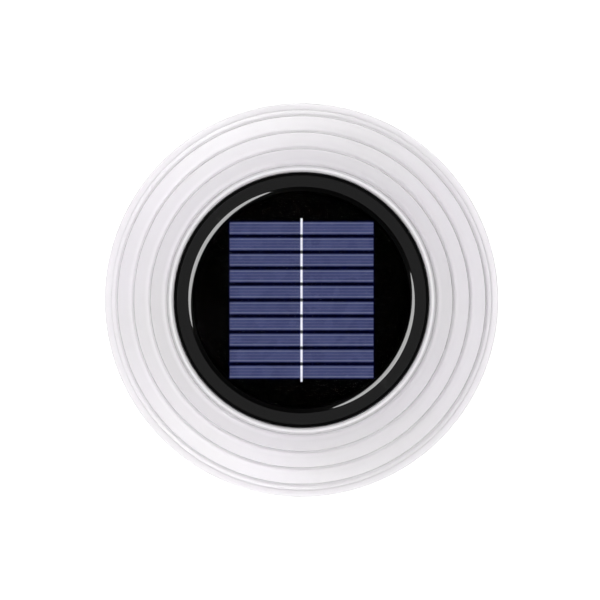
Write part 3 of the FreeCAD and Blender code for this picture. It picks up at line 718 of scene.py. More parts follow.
def stroke_mark():
    """Straight stroke through the ring's gap, along y."""
    y = np.linspace(stroke_start, mark_radius + stroke_past, 20)
    path = np.column_stack([0 * y, y, np.full(y.size, mark_z)])
    return swept("button_mark_stroke", path, mark_wire, (0, 0, 1), sides=mark_sides)


marks = [placed(m, "power_button", "boot_silicone") for m in (arc_mark(), stroke_mark())]

# %% [markdown]
# ## The tether bail
#
# The bail is one length of stainless wire: a half circle, two tight bends and two pivot pins. Its path is
# made of those five stretches, each from its own formula, and a round section is carried along it.

# %% Bail wire
bail_bend = 2.0
bail_play = 0.3
bail_dome = 0.3  # the domed end reaches on past the pin's last ring
bail_radius = ear_inner - bail_play - bail_bend


def bail_path():
    """Pin, quarter bend, half circle about (0, bend), quarter bend, pin; all at the pivots' level."""
    x_pin = np.linspace(bail_tip - bail_dome, bail_radius + bail_bend, 10, endpoint=False)
    pin = np.column_stack([x_pin, 0 * x_pin])
    q = np.linspace(0, np.pi / 2, 12, endpoint=False)
    turn = np.column_stack([bail_radius + bail_bend * (1 - np.sin(q)), bail_bend * (1 - np.cos(q))])
    h = np.linspace(0, np.pi, 121)
    bow = np.column_stack([bail_radius * np.cos(h), bail_bend + bail_radius * np.sin(h)])
    far = np.vstack([pin, turn])[::-1] * [-1, 1]
    flat = np.vstack([pin, turn, bow, far])
    return np.column_stack([flat, np.full(len(flat), bail_axis_z)])


bail = placed(swept("bail_wire", bail_path(), bail_wire, (0, 0, 1)), "bail", "stainless_wire", "tether_bail")

# %% [markdown]
# ## Shared effects
#
# Several finishes need the same small effects: moulded grain, slow blotches of tone, worn edges and a little
# dust on what faces up. Each is a node group with named sockets, built once and placed in every material with
# its own values. A group only puts out masks and heights, so that the shader itself stays in the material.

# %% An empty node group
def new_group(name, inputs, outputs):
    """Empty shader group with named sockets; inputs give their default values."""
    group = bpy.data.node_groups.new(name, "ShaderNodeTree")
    for socket, value in inputs.items():
        kind = "NodeSocketVector" if value is None else "NodeSocketFloat"
        made = group.interface.new_socket(socket, in_out="INPUT", socket_type=kind)
        if value is not None:
            made.default_value = value
    for socket in outputs:
        group.interface.new_socket(socket, in_out="OUTPUT", socket_type="NodeSocketFloat")
    return group, group.nodes.new("NodeGroupInput"), group.nodes.new("NodeGroupOutput")


# %% [markdown]
# ## Small steps in a tree
#
# The same three nodes come back everywhere: a sum or product, a noise and a smooth step. Wiring each by hand
# would bury the idea of a finish in links, so each has a helper that returns its output socket.

# %% Sum, noise and smooth step
def math_node(tree, operation, first, second=None):
    """Math node whose operands are sockets or plain numbers; returns its output socket."""
    node = tree.nodes.new("ShaderNodeMath")
    node.operation = operation
    for socket, value in zip(node.inputs, (first, second)):
        if isinstance(value, bpy.types.NodeSocket):
            tree.links.new(value, socket)
        elif value is not None:
            socket.default_value = value
    return node.outputs[0]


def noise_node(tree, place, scale, detail=3.0, roughness=0.5):
    """Noise texture over the place socket; returns its value."""
    node = tree.nodes.new("ShaderNodeTexNoise")
    node.inputs["Detail"].default_value = detail
    node.inputs["Roughness"].default_value = roughness
    tree.links.new(place, node.inputs["Vector"])
    if isinstance(scale, bpy.types.NodeSocket):
        tree.links.new(scale, node.inputs["Scale"])
    else:
        node.inputs["Scale"].default_value = scale
    return node.outputs["Fac"]


def ramp_node(tree, value, low, high):
    """Smooth step from 0 at low to 1 at high."""
    node = tree.nodes.new("ShaderNodeMapRange")
    node.interpolation_type = "SMOOTHSTEP"
    node.inputs["From Min"].default_value = low
    node.inputs["From Max"].default_value = high
    tree.links.new(value, node.inputs["Value"])
    return node.outputs["Result"]


# %% [markdown]
# ## Moulded grain
#
# Plastic copies the fine texture of its mould. One noise looks too even, so a finer one is laid over it.

# %% Moulded grain
FINER = 3.1  # how many times finer the second noise is


def make_grain():
    """Two noises, coarse and fine, added as one height, and the coarse one again as a roughness shift."""
    outputs = ["Height", "Roughness shift"]
    group, given, out = new_group("moulded_grain", {"Place": None, "Scale": 900.0}, outputs)
    coarse = noise_node(group, given.outputs["Place"], given.outputs["Scale"], 2.0)
    finer = math_node(group, "MULTIPLY", given.outputs["Scale"], FINER)
    fine = noise_node(group, given.outputs["Place"], finer, 3.0)
    total = math_node(group, "ADD", coarse, math_node(group, "MULTIPLY", fine, 0.5))
    group.links.new(total, out.inputs["Height"])
    group.links.new(math_node(group, "SUBTRACT", coarse, 0.5), out.inputs["Roughness shift"])
    return group


# %% [markdown]
# ## Slow blotches
#
# No moulding has one even tone. A broad noise through a smooth step gives patches that drift into each other;
# the raw noise would only look like fog.

# %% Slow blotches
def make_blotches():
    """Broad noise through a smooth step from 0.35 to 0.65, so that tones drift from patch to patch."""
    group, given, out = new_group("slow_blotches", {"Place": None, "Scale": 25.0}, ["Mask"])
    broad = noise_node(group, given.outputs["Place"], given.outputs["Scale"], 2.0)
    group.links.new(ramp_node(group, broad, 0.35, 0.65), out.inputs["Mask"])
    return group


# %% [markdown]
# ## Worn edges
#
# Hands and sand polish outer edges first. Painted edge maps would need an unwrapped mesh; pointiness finds
# the same edges from the shape itself.

# %% Worn edges
def make_wear():
    """Convex edges, where pointiness passes from 0.52 to 0.62, broken up by a noise between 0.35 and 0.75."""
    group, given, out = new_group("worn_edges", {"Place": None, "Scale": 300.0, "Amount": 0.5}, ["Mask"])
    edges = ramp_node(group, group.nodes.new("ShaderNodeNewGeometry").outputs["Pointiness"], 0.52, 0.62)
    patches = ramp_node(group, noise_node(group, given.outputs["Place"], given.outputs["Scale"]), 0.35, 0.75)
    mask = math_node(group, "MULTIPLY", math_node(group, "MULTIPLY", edges, patches), given.outputs["Amount"])
    group.links.new(mask, out.inputs["Mask"])
    return group


# %% [markdown]
# ## Fine dust
#
# Dust settles on what faces up. The normal's height picks those faces, and a noise leaves only specks.

# %% Fine dust
def make_dust():
    """Specks, where a noise passes from 0.68 to 0.82, kept only where the normal's z is over 0.6."""
    group, given, out = new_group("fine_dust", {"Place": None, "Scale": 1200.0, "Amount": 0.3}, ["Mask"])
    split = group.nodes.new("ShaderNodeSeparateXYZ")
    group.links.new(group.nodes.new("ShaderNodeNewGeometry").outputs["Normal"], split.inputs[0])
    up = ramp_node(group, split.outputs["Z"], 0.6, 1.0)
    noise = noise_node(group, given.outputs["Place"], given.outputs["Scale"], 1.0)
    specks = ramp_node(group, noise, 0.68, 0.82)
    mask = math_node(group, "MULTIPLY", math_node(group, "MULTIPLY", up, specks), given.outputs["Amount"])
    group.links.new(mask, out.inputs["Mask"])
    return group


GRAIN, BLOTCHES, WEAR, DUST = make_grain(), make_blotches(), make_wear(), make_dust()
print("shared effects:", [g.name for g in (GRAIN, BLOTCHES, WEAR, DUST)])

# %% [markdown]
# ## A bench for finishes
#
# Each material starts from the same bench: object coordinates, a Principled shader and helpers that place a
# group or mix two colours. The colours and numbers that make a plastic a plastic stay in each material's own
# call.

# %% Material bench
class Bench:
    """One material under construction: its tree, its shader and the object coordinates."""

    def __init__(self, name, roughness, metallic=0.0, **shader_values):
        self.material = bpy.data.materials.new(name)
        self.material.use_nodes = True
        self.tree = self.material.node_tree
        self.shader = self.tree.nodes["Principled BSDF"]
        self.shader.inputs["Roughness"].default_value = roughness
        self.shader.inputs["Metallic"].default_value = metallic
        for socket, value in shader_values.items():
            self.shader.inputs[socket.replace("_", " ")].default_value = value
        self.roughness = roughness
        self.place = self.tree.nodes.new("ShaderNodeTexCoord").outputs["Object"]

    def effect(self, group, output, **values):
        """Places a shared effect with its own values and returns one of its outputs."""
        node = self.tree.nodes.new("ShaderNodeGroup")
        node.node_tree = group
        self.tree.links.new(self.place, node.inputs["Place"])
        for socket, value in values.items():
            node.inputs[socket].default_value = value
        return node.outputs[output]

    def mixed(self, mask, first, second):
        """Colour between first and second by the mask; either may be a colour or a socket."""
        node = self.tree.nodes.new("ShaderNodeMix")
        node.data_type = "RGBA"
        self.tree.links.new(mask, node.inputs["Factor"])
        for socket, value in ((node.inputs[6], first), (node.inputs[7], second)):
            if isinstance(value, bpy.types.NodeSocket):
                self.tree.links.new(value, socket)
            else:
                socket.default_value = (*value, 1.0)
        return node.outputs[2]

    def tinted(self, mask, first, tint):
        """Colour first, multiplied by the tint where the mask is 1."""
        mixed = self.mixed(mask, first, tint)
        mixed.node.blend_type = "MULTIPLY"
        return mixed

    def colour(self, socket):
        """Feeds the base colour."""
        self.tree.links.new(socket, self.shader.inputs["Base Color"])

    def rough(self, shift, gain, floor=0.02):
        """Roughness of the material plus gain times the shift, never under floor."""
        value = math_node(self.tree, "MULTIPLY", shift, gain)
        value = math_node(self.tree, "ADD", value, self.roughness)
        value = math_node(self.tree, "MAXIMUM", value, floor)
        self.tree.links.new(value, self.shader.inputs["Roughness"])

    def bump(self, height, depth, strength=1.0):
        """Bump of that depth in millimetres."""
        node = self.tree.nodes.new("ShaderNodeBump")
        node.inputs["Strength"].default_value = strength
        node.inputs["Distance"].default_value = depth * MM
        self.tree.links.new(height, node.inputs["Height"])
        self.tree.links.new(node.outputs["Normal"], self.shader.inputs["Normal"])

    def along(self, axis, place=None):
        """One coordinate of a vector: of the object coordinates, if no other vector is given."""
        split = self.tree.nodes.new("ShaderNodeSeparateXYZ")
        self.tree.links.new(place or self.place, split.inputs[0])
        return split.outputs[axis]

    def from_axis(self):
        """Distance of a point from the axis: the length of (x, y, 0)."""
        flat, length = (self.tree.nodes.new("ShaderNodeVectorMath") for _ in range(2))
        flat.operation, length.operation = "MULTIPLY", "LENGTH"
        flat.inputs[1].default_value = (1, 1, 0)
        self.tree.links.new(self.place, flat.inputs[0])
        self.tree.links.new(flat.outputs[0], length.inputs[0])
        return length.outputs["Value"]


# %% [markdown]
# ## Dressing a piece
#
# A piece here has one finish all over, so any material that it carries is cleared before the new one is put
# on. Two finishes on one piece would need face indices; a mask inside the material does the same.

# %% One finish on each piece
def dressed(pieces, material):
    """Gives each piece that one material."""
    for piece in pieces:
        piece.data.materials.clear()
        piece.data.materials.append(material)
    print(f"{material.name}: {', '.join(piece.name for piece in pieces)}")


# %% [markdown]
# ## Milky shells
#
# The shells are milky polyethylene: light goes in and comes out a millimetre away, so edges look soft.
# Subsurface scattering does that; a plain white diffuse looks like paint. A ramp over the distance from the
# axis paints the light and shade of the steps into the colour: painted shade at the lip's bore and on the
# first riser, a painted highlight on the lip, painted light in each cove and on the ledge, outer lands
# lighter.

# %% Painted light and shade over the upper shell
PLAIN = 0.92  # tone of the lower shell, which has no lands that face up
LILAC = np.array([1.0, 0.968, 1.014])


def painted_light_stops():
    """(radius, tone) pairs of painted light and shade: painted shade at the lip's bore, on the lip's roll and
    on the first riser, a painted highlight on the lip's top, painted light in each cove and on the ledge,
    outer lands lighter.
    """
    stops = [(lip_bore, 0.50), (lip_bore + 0.45, 0.65), (lip_bore + 0.75, 1.0)]
    stops += [(lip_radius - 0.6, 0.98), (lip_radius - 0.42, 0.66)]
    stops += [(lip_radius, 0.58), (lip_radius + 0.25, 0.72)]
    radius = lip_radius
    for step in range(upper_risers - 1):
        end = radius + upper_pitch
        rise = step / (upper_risers - 2)
        stops += [(radius + 0.6, 0.90 + 0.02 * rise), (radius + 2.0, 0.735 + 0.07 * rise)]
        stops.append((end, 0.73 + 0.065 * rise))
        radius = end
    stops += [(radius + 0.5, 0.91), (upper_rim_radius - 0.1, 0.86)]
    return stops + [(upper_rim_radius + 0.2, 0.93), (float_radius, PLAIN)]


def ramp_over(tree, share, stops):
    """Colour ramp with one element for each (position, colour) pair."""
    ramp = tree.nodes.new("ShaderNodeValToRGB")
    while len(ramp.color_ramp.elements) < len(stops):
        ramp.color_ramp.elements.new(0.5)
    for element, (position, tone) in zip(ramp.color_ramp.elements, stops):
        element.position, element.color = position, (*tone, 1)
    tree.links.new(share, ramp.inputs["Fac"])
    return ramp.outputs["Color"]


# %% [markdown]
# ## The milky finish
#
# Over the painted light and shade come slow drifts towards a warmer white, painted shade on steep walls, dust
# and grain.
# The scattering radius is short, because a long one would wash out the thin dark line under each land.

# %% Milky finish
def milky_finish():
    """Painted light and shade by distance from the axis above the parting, PLAIN below, then drift, painted
    shade on steep slopes, dust and grain.
    """
    bench = Bench("milky_polyethylene", 0.22, Subsurface_Weight=0.5, Subsurface_Scale=0.001, IOR=1.5)
    bench.shader.inputs["Subsurface Radius"].default_value = (1.0, 0.95, 1.0)
    tree = bench.tree
    share = math_node(tree, "MULTIPLY", bench.from_axis(), 1 / (float_radius * MM))
    # painted light and shade by distance from the axis: lit coves, shaded lip bore and first riser, lighter
    # outer lands
    painted_light_tones = ramp_over(tree, share, [(radius / float_radius, tone * LILAC) for radius, tone in painted_light_stops()])
    terraced = ramp_node(tree, bench.along("Z"), (parting_z - 0.2) * MM, (parting_z - 0.1) * MM)
    with_painted_light = bench.mixed(terraced, PLAIN * LILAC, painted_light_tones)
    tone = bench.tinted(bench.effect(BLOTCHES, "Mask", Scale=26.0), with_painted_light, (0.975, 0.985, 0.965))
    normal = tree.nodes.new("ShaderNodeNewGeometry").outputs["Normal"]
    # painted shade: steep walls are darkened towards grey in the colour
    steep_painted_shade = ramp_node(tree, math_node(tree, "ABSOLUTE", bench.along("Z", normal)), 0.45, 0.05)
    tone = bench.mixed(math_node(tree, "MULTIPLY", steep_painted_shade, 0.05), tone, (0.50, 0.49, 0.51))
    dusty = bench.mixed(bench.effect(DUST, "Mask", Scale=1500.0, Amount=0.08), tone, (0.62, 0.60, 0.58))
    bench.colour(dusty)
    bench.rough(bench.effect(GRAIN, "Roughness shift", Scale=500.0), 0.10)
    bench.bump(bench.effect(GRAIN, "Height", Scale=700.0), 0.010, 0.25)
    return bench.material


dressed([upper_shell, lower_shell, *ears], milky_finish())

# %% [markdown]
# ## Black ring
#
# The ring is black ABS. Its face has spark texture, its bevel is polished. Both are one material: the
# distance from the axis picks where the texture fades out, because the boundary is a circle.

# %% Ring finish
def ring_finish():
    """Grain and a grey tone between face_inner and ring_radius; black and a polished coat inside that."""
    bench = Bench("black_spark_abs", 0.42, IOR=1.5, Specular_IOR_Level=0.02, Coat_Roughness=0.05)
    tree = bench.tree
    distance = bench.from_axis()
    inner = ramp_node(tree, distance, (face_inner - 0.1) * MM, (face_inner + 0.1) * MM)
    outer = ramp_node(tree, distance, (ring_radius + 0.05) * MM, (ring_radius - 0.1) * MM)
    textured = math_node(tree, "MULTIPLY", inner, outer)
    grain = bench.effect(GRAIN, "Height", Scale=1600.0)
    worn = bench.effect(WEAR, "Mask", Scale=500.0, Amount=0.25)
    tone = bench.mixed(textured, (0.0004, 0.0004, 0.0004), (0.0080, 0.0080, 0.0081))
    bench.colour(bench.mixed(worn, tone, (0.03, 0.03, 0.03)))
    tree.links.new(math_node(tree, "SUBTRACT", 1.0, inner), bench.shader.inputs["Coat Weight"])
    bench.bump(math_node(tree, "MULTIPLY", grain, textured), 0.02, 0.5)
    return bench.material


dressed([bezel], ring_finish())

# %% [markdown]
# ## Window
#
# The window is clear acrylic. Glass would be heavier and bends light more; acrylic keeps a plain
# transmission, and only faint wipe marks change its roughness.

# %% Window finish
def window_finish():
    """Clear transmission, with up to 0.02 more roughness in patches."""
    bench = Bench("clear_acrylic", 0.02, Transmission_Weight=1.0, IOR=1.49)
    bench.shader.inputs["Base Color"].default_value = (0.97, 0.98, 0.99, 1)
    bench.rough(bench.effect(BLOTCHES, "Mask", Scale=60.0), 0.02, 0.0)
    return bench.material


dressed([window], window_finish())

# %% [markdown]
# ## Panel
#
# The board is black solder mask with a dark blue film under the strips, a field just larger than their block.
# The film could be a thin piece of its own; as a mask on two coordinates it needs no extra surface.

# %% Panel finish
film_margin = 0.3
FIELD_BLUR = 0.05
field = np.array([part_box(strip_names[0])[1][0], strip_edges[-1, 1] * MM]) + film_margin * MM


def panel_finish():
    """Film where |x| and |y| are both inside the field, black mask elsewhere."""
    bench = Bench("black_mask_blue_film", 0.4, IOR=1.5, Specular_IOR_Level=0.0)
    tree = bench.tree
    masks = []
    for axis, half in zip("XY", field):
        away = math_node(tree, "ABSOLUTE", bench.along(axis))
        masks.append(ramp_node(tree, away, half + FIELD_BLUR * MM, half - FIELD_BLUR * MM))
    inside = math_node(tree, "MULTIPLY", *masks)
    drift = bench.effect(BLOTCHES, "Mask", Scale=90.0)
    film = bench.mixed(drift, (0.0006, 0.0010, 0.0170), (0.0010, 0.0014, 0.0220))
    bench.colour(bench.mixed(inside, (0.0004, 0.0004, 0.0004), film))
    bench.rough(bench.effect(GRAIN, "Roughness shift", Scale=600.0), 0.1)
    return bench.material


dressed([frame["nodes"]["panel_board"]], panel_finish())

# %% [markdown]
# ## Silicon strips
#
# The strips are cast silicon: blue grey crystals with slightly different tones. Cells of a Voronoi texture
# look like such crystals. The pale printed fingers are found by their height, so they can't slip off their
# ridges.

# %% Strip finish
def strip_finish():
    """A tone for each crystal, and the fingers' tone from a tenth to six tenths of the ridge's height."""
    bench = Bench("cast_silicon", 0.42, IOR=1.5, Specular_IOR_Level=0.1)
    tree = bench.tree
    crystals = tree.nodes.new("ShaderNodeTexVoronoi")
    crystals.inputs["Scale"].default_value = 380.0
    tree.links.new(bench.place, crystals.inputs["Vector"])
    grey = tree.nodes.new("ShaderNodeRGBToBW")
    tree.links.new(crystals.outputs["Color"], grey.inputs[0])
    tone = bench.mixed(grey.outputs[0], (0.082, 0.094, 0.245), (0.112, 0.128, 0.310))
    foot, rise = (strip_top - FINGER_RISE) * MM, FINGER_RISE * MM
    finger = ramp_node(tree, bench.along("Z"), foot + 0.1 * rise, foot + 0.6 * rise)
    bench.colour(bench.mixed(finger, tone, (0.27, 0.29, 0.48)))
    bench.rough(grey.outputs[0], 0.1)
    return bench.material


dressed(strips, strip_finish())

# %% [markdown]
# ## Tinned ribbon
#
# Hot tin leaves a soft, faintly wavy shine. The ribbon is partly metal, so that it picks up the bright ring
# overhead, and its colour is darkened with painted shade where it dips into a gap.

# %% Ribbon finish
def ribbon_finish():
    """Bright tin that drifts, painted shade where the ribbon has sunk to the strips' top, fine scratches as
    bump.
    """
    bench = Bench("tinned_copper", 0.42, metallic=0.7)
    scratches = bench.effect(GRAIN, "Height", Scale=1500.0)
    drift = bench.effect(BLOTCHES, "Mask", Scale=300.0)
    bright = bench.mixed(drift, (0.89, 0.89, 0.97), (0.93, 0.93, 1.0))
    # painted shade: the ribbon's colour goes dark where it sinks into the gaps
    dip_painted_shade = ramp_node(bench.tree, bench.along("Z"), strip_top * MM, (strip_top + 0.7 * ribbon_thick) * MM)
    bench.colour(bench.mixed(dip_painted_shade, (0.10, 0.10, 0.11), bright))
    bench.rough(bench.effect(GRAIN, "Roughness shift", Scale=900.0), 0.2)
    bench.bump(scratches, 0.01, 0.3)
    return bench.material


dressed([ribbon_piece], ribbon_finish())

# %% [markdown]
# ## The other finishes
#
# What is left are rubbers, wires, inner plastics and metals. They share one recipe: a base tone that drifts
# to a second, wear on edges, dust on top, grain in the bump. Each line gives one finish its own values, and
# the frame's record says which pieces take it.

# %% One recipe, many finishes
RECIPES = {
    # slot: (tone, second tone, roughness, metallic, grain scale, grain depth mm, wear, dust)
    "black_cap": ((0.014, 0.014, 0.015), (0.020, 0.020, 0.021), 0.50, 0.0, 1200.0, 0.020, 0.3, 0.1),
    "seal_rubber": ((0.018, 0.018, 0.019), (0.028, 0.028, 0.029), 0.62, 0.0, 800.0, 0.010, 0.1, 0.3),
    "boot_silicone": ((0.46, 0.47, 0.49), (0.50, 0.51, 0.53), 0.55, 0.0, 700.0, 0.012, 0.1, 0.2),
    "button_mark": ((0.17, 0.18, 0.20), (0.20, 0.21, 0.23), 0.50, 0.0, 700.0, 0.010, 0.1, 0.2),
    "inner_plastic": ((0.70, 0.69, 0.67), (0.74, 0.73, 0.71), 0.45, 0.0, 600.0, 0.012, 0.2, 0.1),
    "steel_screws": ((0.55, 0.55, 0.56), (0.62, 0.62, 0.62), 0.32, 1.0, 1500.0, 0.006, 0.4, 0.1),
    "switch_housing": ((0.020, 0.020, 0.022), (0.03, 0.03, 0.032), 0.45, 0.0, 900.0, 0.010, 0.3, 0.1),
    "switch_stem": ((0.62, 0.60, 0.54), (0.66, 0.64, 0.58), 0.40, 0.0, 700.0, 0.008, 0.2, 0.0),
    "stainless_wire": ((0.60, 0.60, 0.61), (0.66, 0.66, 0.67), 0.24, 1.0, 1800.0, 0.006, 0.3, 0.0),
    "board_laminate": ((0.74, 0.76, 0.74), (0.80, 0.82, 0.80), 0.32, 0.0, 900.0, 0.008, 0.2, 0.2),
    "chip_resin": ((0.016, 0.016, 0.017), (0.03, 0.03, 0.03), 0.55, 0.0, 2200.0, 0.012, 0.2, 0.1),
    "coil_ferrite": ((0.045, 0.043, 0.045), (0.07, 0.068, 0.07), 0.60, 0.0, 1800.0, 0.020, 0.4, 0.1),
    "capacitor_can": ((0.66, 0.66, 0.68), (0.72, 0.72, 0.74), 0.34, 1.0, 1500.0, 0.006, 0.3, 0.1),
    "connector_nylon": ((0.80, 0.77, 0.70), (0.84, 0.82, 0.76), 0.50, 0.0, 700.0, 0.010, 0.2, 0.1),
    "holder_plastic": ((0.022, 0.022, 0.024), (0.03, 0.03, 0.032), 0.48, 0.0, 900.0, 0.014, 0.3, 0.2),
    "battery_sleeve": ((0.03, 0.20, 0.09), (0.04, 0.23, 0.11), 0.28, 0.0, 500.0, 0.006, 0.3, 0.1),
    "plated_spring_steel": ((0.68, 0.66, 0.63), (0.74, 0.72, 0.69), 0.22, 1.0, 1500.0, 0.004, 0.2, 0.0),
    "frosted_dome": ((0.82, 0.82, 0.82), (0.86, 0.86, 0.86), 0.55, 0.0, 1000.0, 0.016, 0.1, 0.1),
    "red_insulation": ((0.42, 0.012, 0.012), (0.50, 0.018, 0.016), 0.42, 0.0, 900.0, 0.006, 0.1, 0.0),
    "black_insulation": ((0.016, 0.016, 0.017), (0.024, 0.024, 0.025), 0.42, 0.0, 900.0, 0.006, 0.1, 0.0),
    "led_package": ((0.80, 0.70, 0.22), (0.84, 0.76, 0.30), 0.35, 0.0, 1500.0, 0.006, 0.1, 0.0),
}


def common_finish(slot):
    """Drifting tone, lighter worn edges, dust, then grain in roughness and bump, each at its own scale."""
    tone, second, roughness, metallic, scale, depth, wear, dust = RECIPES[slot]
    bench = Bench(slot + "_finish", roughness, metallic)
    base = bench.mixed(bench.effect(BLOTCHES, "Mask", Scale=scale / 12), tone, second)
    lighter = tuple(0.6 * c + 0.25 for c in tone)
    worn = bench.mixed(bench.effect(WEAR, "Mask", Scale=scale / 3, Amount=wear), base, lighter)
    bench.colour(bench.mixed(bench.effect(DUST, "Mask", Scale=1400.0, Amount=dust), worn, (0.45, 0.44, 0.42)))
    bench.rough(bench.effect(GRAIN, "Roughness shift", Scale=scale / 2), 0.15)
    bench.bump(bench.effect(GRAIN, "Height", Scale=scale), depth, 0.5)
    return bench.material


# %% [markdown]
# ## Dressing the rest
#
# The frame's record already says which slot each piece takes, so a loop dresses them; assigning them one by
# one would only repeat the record.

# %% Every remaining piece
finishes = {slot: common_finish(slot) for slot in RECIPES}
slot_of = {part["node"]: part["material_slot"] for part in frame["record"]["subparts"]}
for node, slot in slot_of.items():
    if slot in finishes and not frame["nodes"][node].hide_render:
        dressed([frame["nodes"][node]], finishes[slot])
dressed([seal], finishes["seal_rubber"])
dressed([boot], finishes["boot_silicone"])
dressed(marks, finishes["button_mark"])
dressed([bail], finishes["stainless_wire"])
print("finishes from the shared recipe:", len(finishes))

# %% [markdown]
# ## Studio
#
# The light stands on a white table in a bright room. Straight overhead it is dark, so that the flat window
# shows no reflection, with a bright ring round that for the lands and a dark band low down, which keeps the
# bevel black. Two large soft lamps light the coves on the left. Area lamps could do all of it, but a formula
# of direction is even all round.

# %% Sky and lamps as a formula of direction
SKY_TOP = 4.0
SKY_RING = [  # height of a direction, brightness there
    (0.0, 1.0), (0.10, 0.9), (0.15, 0.02), (0.62, 0.02), (0.76, 0.58),
    (0.93, 0.68), (0.955, 2.3), (0.988, 2.3), (0.995, 0.0),
]
BELOW = 0.65  # the floor under the table, as a share of the horizon's brightness
SOFT_LAMPS = [(114, 68, 12, 5.2), (246, 68, 12, 5.0)]  # azimuth, elevation, radius in degrees, brightness
LAMP_CORE, LAMP_FADE = 0.6, 1.2  # full inside, gone outside, as shares of the radius


def direction(azimuth, elevation):
    """Unit vector: (cos a cos e, sin a cos e, sin e)."""
    a, e = math.radians(azimuth), math.radians(elevation)
    return math.cos(a) * math.cos(e), math.sin(a) * math.cos(e), math.sin(e)


def sky():
    """Brightness by height from SKY_RING; each lamp adds a smooth disc round its direction."""
    world = bpy.data.worlds.new("studio_sky")
    bpy.context.scene.world = world
    world.use_nodes = True
    tree = world.node_tree
    background = tree.nodes["Background"]
    toward = tree.nodes.new("ShaderNodeTexCoord").outputs["Generated"]
    split = tree.nodes.new("ShaderNodeSeparateXYZ")
    tree.links.new(toward, split.inputs[0])
    greys = [(height, [value / SKY_TOP] * 3) for height, value in SKY_RING]
    ring = ramp_over(tree, split.outputs["Z"], greys)
    above = ramp_node(tree, split.outputs["Z"], -0.05, 0.0)
    level = math_node(tree, "ADD", math_node(tree, "MULTIPLY", above, 1 - BELOW), BELOW)
    total = math_node(tree, "MULTIPLY", math_node(tree, "MULTIPLY", ring, SKY_TOP), level)
    for azimuth, elevation, radius, power in SOFT_LAMPS:
        dot = tree.nodes.new("ShaderNodeVectorMath")
        dot.operation = "DOT_PRODUCT"
        dot.inputs[1].default_value = direction(azimuth, elevation)
        tree.links.new(toward, dot.inputs[0])
        edge_in = math.cos(math.radians(radius * LAMP_CORE))
        edge_out = math.cos(math.radians(radius * LAMP_FADE))
        lamp = math_node(tree, "MULTIPLY", ramp_node(tree, dot.outputs["Value"], edge_out, edge_in), power)
        total = math_node(tree, "ADD", total, lamp)
    seen = tree.nodes.new("ShaderNodeMix")
    tree.links.new(tree.nodes.new("ShaderNodeLightPath").outputs["Is Camera Ray"], seen.inputs["Factor"])
    tree.links.new(total, seen.inputs[2])
    seen.inputs[3].default_value = 1.0
    tree.links.new(seen.outputs[0], background.inputs["Color"])


sky()

# %% [markdown]
# ## Flagged lamps
#
# The polished bevel shows two crescents, from two long low lamps that face each other across the light. Two
# wider lamps wash the shells from low on both sides, so that the risers aren't dull. Each lamp only lights
# its own pieces, as black flags round a real lamp would arrange.

# %% Four flagged lamps
def lit_only(name, pieces):
    """Collection of the pieces that a lamp may light."""
    chosen = bpy.data.collections.new(name)
    for piece in pieces:
        chosen.objects.link(piece)
    return chosen


def flagged_lamp(name, shape, size, azimuth, elevation, distance, power, receivers):
    """Area lamp at that direction and distance from the middle of the light, facing it."""
    lamp = bpy.data.lights.new(name, "AREA")
    lamp.shape, lamp.energy = shape, power
    lamp.size, lamp.size_y = size
    stand = bpy.data.objects.new(name, lamp)
    bpy.context.scene.collection.objects.link(stand)
    away = np.array(direction(azimuth, elevation))
    stand.location = away * distance + [0, 0, cap_top * MM]
    stand.rotation_euler = Vector(away).to_track_quat("Z", "Y").to_euler()
    stand.light_linking.receiver_collection = receivers
    stand.visible_camera = False


ring_only = lit_only("ring_only", [bezel])
shells_only = lit_only("shells_only", [upper_shell, lower_shell, *ears, bail, boot, *marks])
for name, azimuth in (("crescent_lamp_left", 150), ("crescent_lamp_right", -30)):
    flagged_lamp(name, "ELLIPSE", (1.0, 0.20), azimuth, 20.0, 0.55, 4.8, ring_only)
for name, azimuth, power in (("wash_lamp_back", 90, 0.75), ("wash_lamp_front", 270, 0.7)):
    flagged_lamp(name, "RECTANGLE", (0.9, 0.3), azimuth, 10.0, 0.6, power, shells_only)

# %% [markdown]
# ## Table
#
# The table is a plain white plane that glows a little, so that it stays evenly white under the light. It is
# clear from below, and under the foot it has a clear disc that lets light into the recess, so that the
# underside can be looked at.

# %% Table
TABLE_GLOW = 0.80


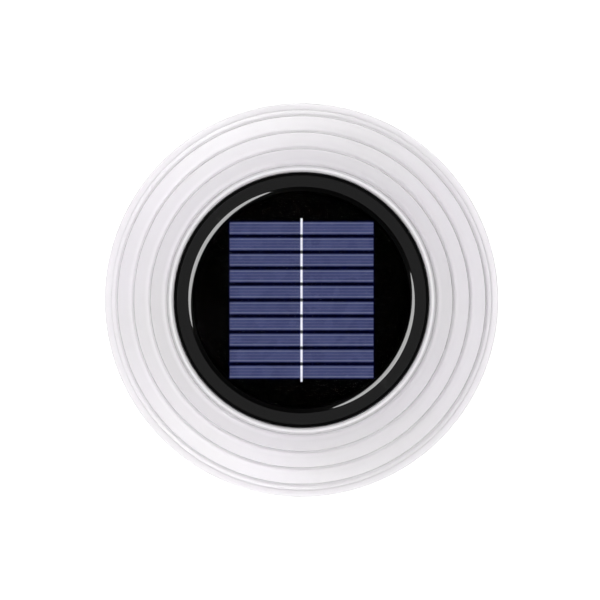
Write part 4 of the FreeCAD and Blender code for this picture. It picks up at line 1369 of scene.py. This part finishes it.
def table_finish():
    """White, with a glow for the camera's own rays; clear from below and in a disc hidden under the foot."""
    material = bpy.data.materials.new("white_table")
    material.use_nodes = True
    tree = material.node_tree
    shader = tree.nodes["Principled BSDF"]
    shader.inputs["Base Color"].default_value = (0.88, 0.88, 0.88, 1)
    shader.inputs["Roughness"].default_value = 0.9
    shader.inputs["Specular IOR Level"].default_value = 0.0
    shader.inputs["Emission Color"].default_value = (1, 1, 1, 1)
    eye = tree.nodes.new("ShaderNodeLightPath").outputs["Is Camera Ray"]
    tree.links.new(math_node(tree, "MULTIPLY", eye, TABLE_GLOW), shader.inputs["Emission Strength"])
    clear, mix = tree.nodes.new("ShaderNodeBsdfTransparent"), tree.nodes.new("ShaderNodeMixShader")
    geometry = tree.nodes.new("ShaderNodeNewGeometry")
    length = tree.nodes.new("ShaderNodeVectorMath")
    length.operation = "LENGTH"
    tree.links.new(geometry.outputs["Position"], length.inputs[0])
    under_foot = math_node(tree, "LESS_THAN", length.outputs["Value"], (base_radius - rim_edge / 2) * MM)
    tree.links.new(math_node(tree, "MAXIMUM", geometry.outputs["Backfacing"], under_foot), mix.inputs[0])
    tree.links.new(shader.outputs[0], mix.inputs[1])
    tree.links.new(clear.outputs[0], mix.inputs[2])
    tree.links.new(mix.outputs[0], tree.nodes["Material Output"].inputs["Surface"])
    return material


half = 3.0  # metres
table_corners = [(-half, -half, 0), (half, -half, 0), (half, half, 0), (-half, half, 0)]
table_mesh = bpy.data.meshes.new("table")
table_mesh.from_pydata(table_corners, [], [(0, 1, 2, 3)])
table = bpy.data.objects.new("table", table_mesh)
bpy.context.scene.collection.objects.link(table)
dressed([table], table_finish())

# %% [markdown]
# ## Camera
#
# The camera looks straight down from far away through a long lens, which keeps the steps in proportion; a
# near one would show more of each riser on the far side. Its height follows from the width that it takes in.

# %% Camera
rim_middle = 28.0
view_width = 167.9
aside = -0.42
lens, sensor = 300.0, 36.0
camera_data = bpy.data.cameras.new("camera")
camera_data.lens, camera_data.sensor_width = lens, sensor
camera_data.clip_start, camera_data.clip_end = 0.05, 20.0
camera = bpy.data.objects.new("camera", camera_data)
camera.location = (aside * MM, 0, (rim_middle + view_width * lens / sensor) * MM)
bpy.context.scene.collection.objects.link(camera)
bpy.context.scene.camera = camera
scene = bpy.context.scene
scene.view_settings.view_transform = "Standard"
scene.view_settings.look = "None"
scene.view_settings.exposure = 0.0
scene.view_settings.gamma = 1.0
print("camera height, m:", round(camera.location.z, 3))
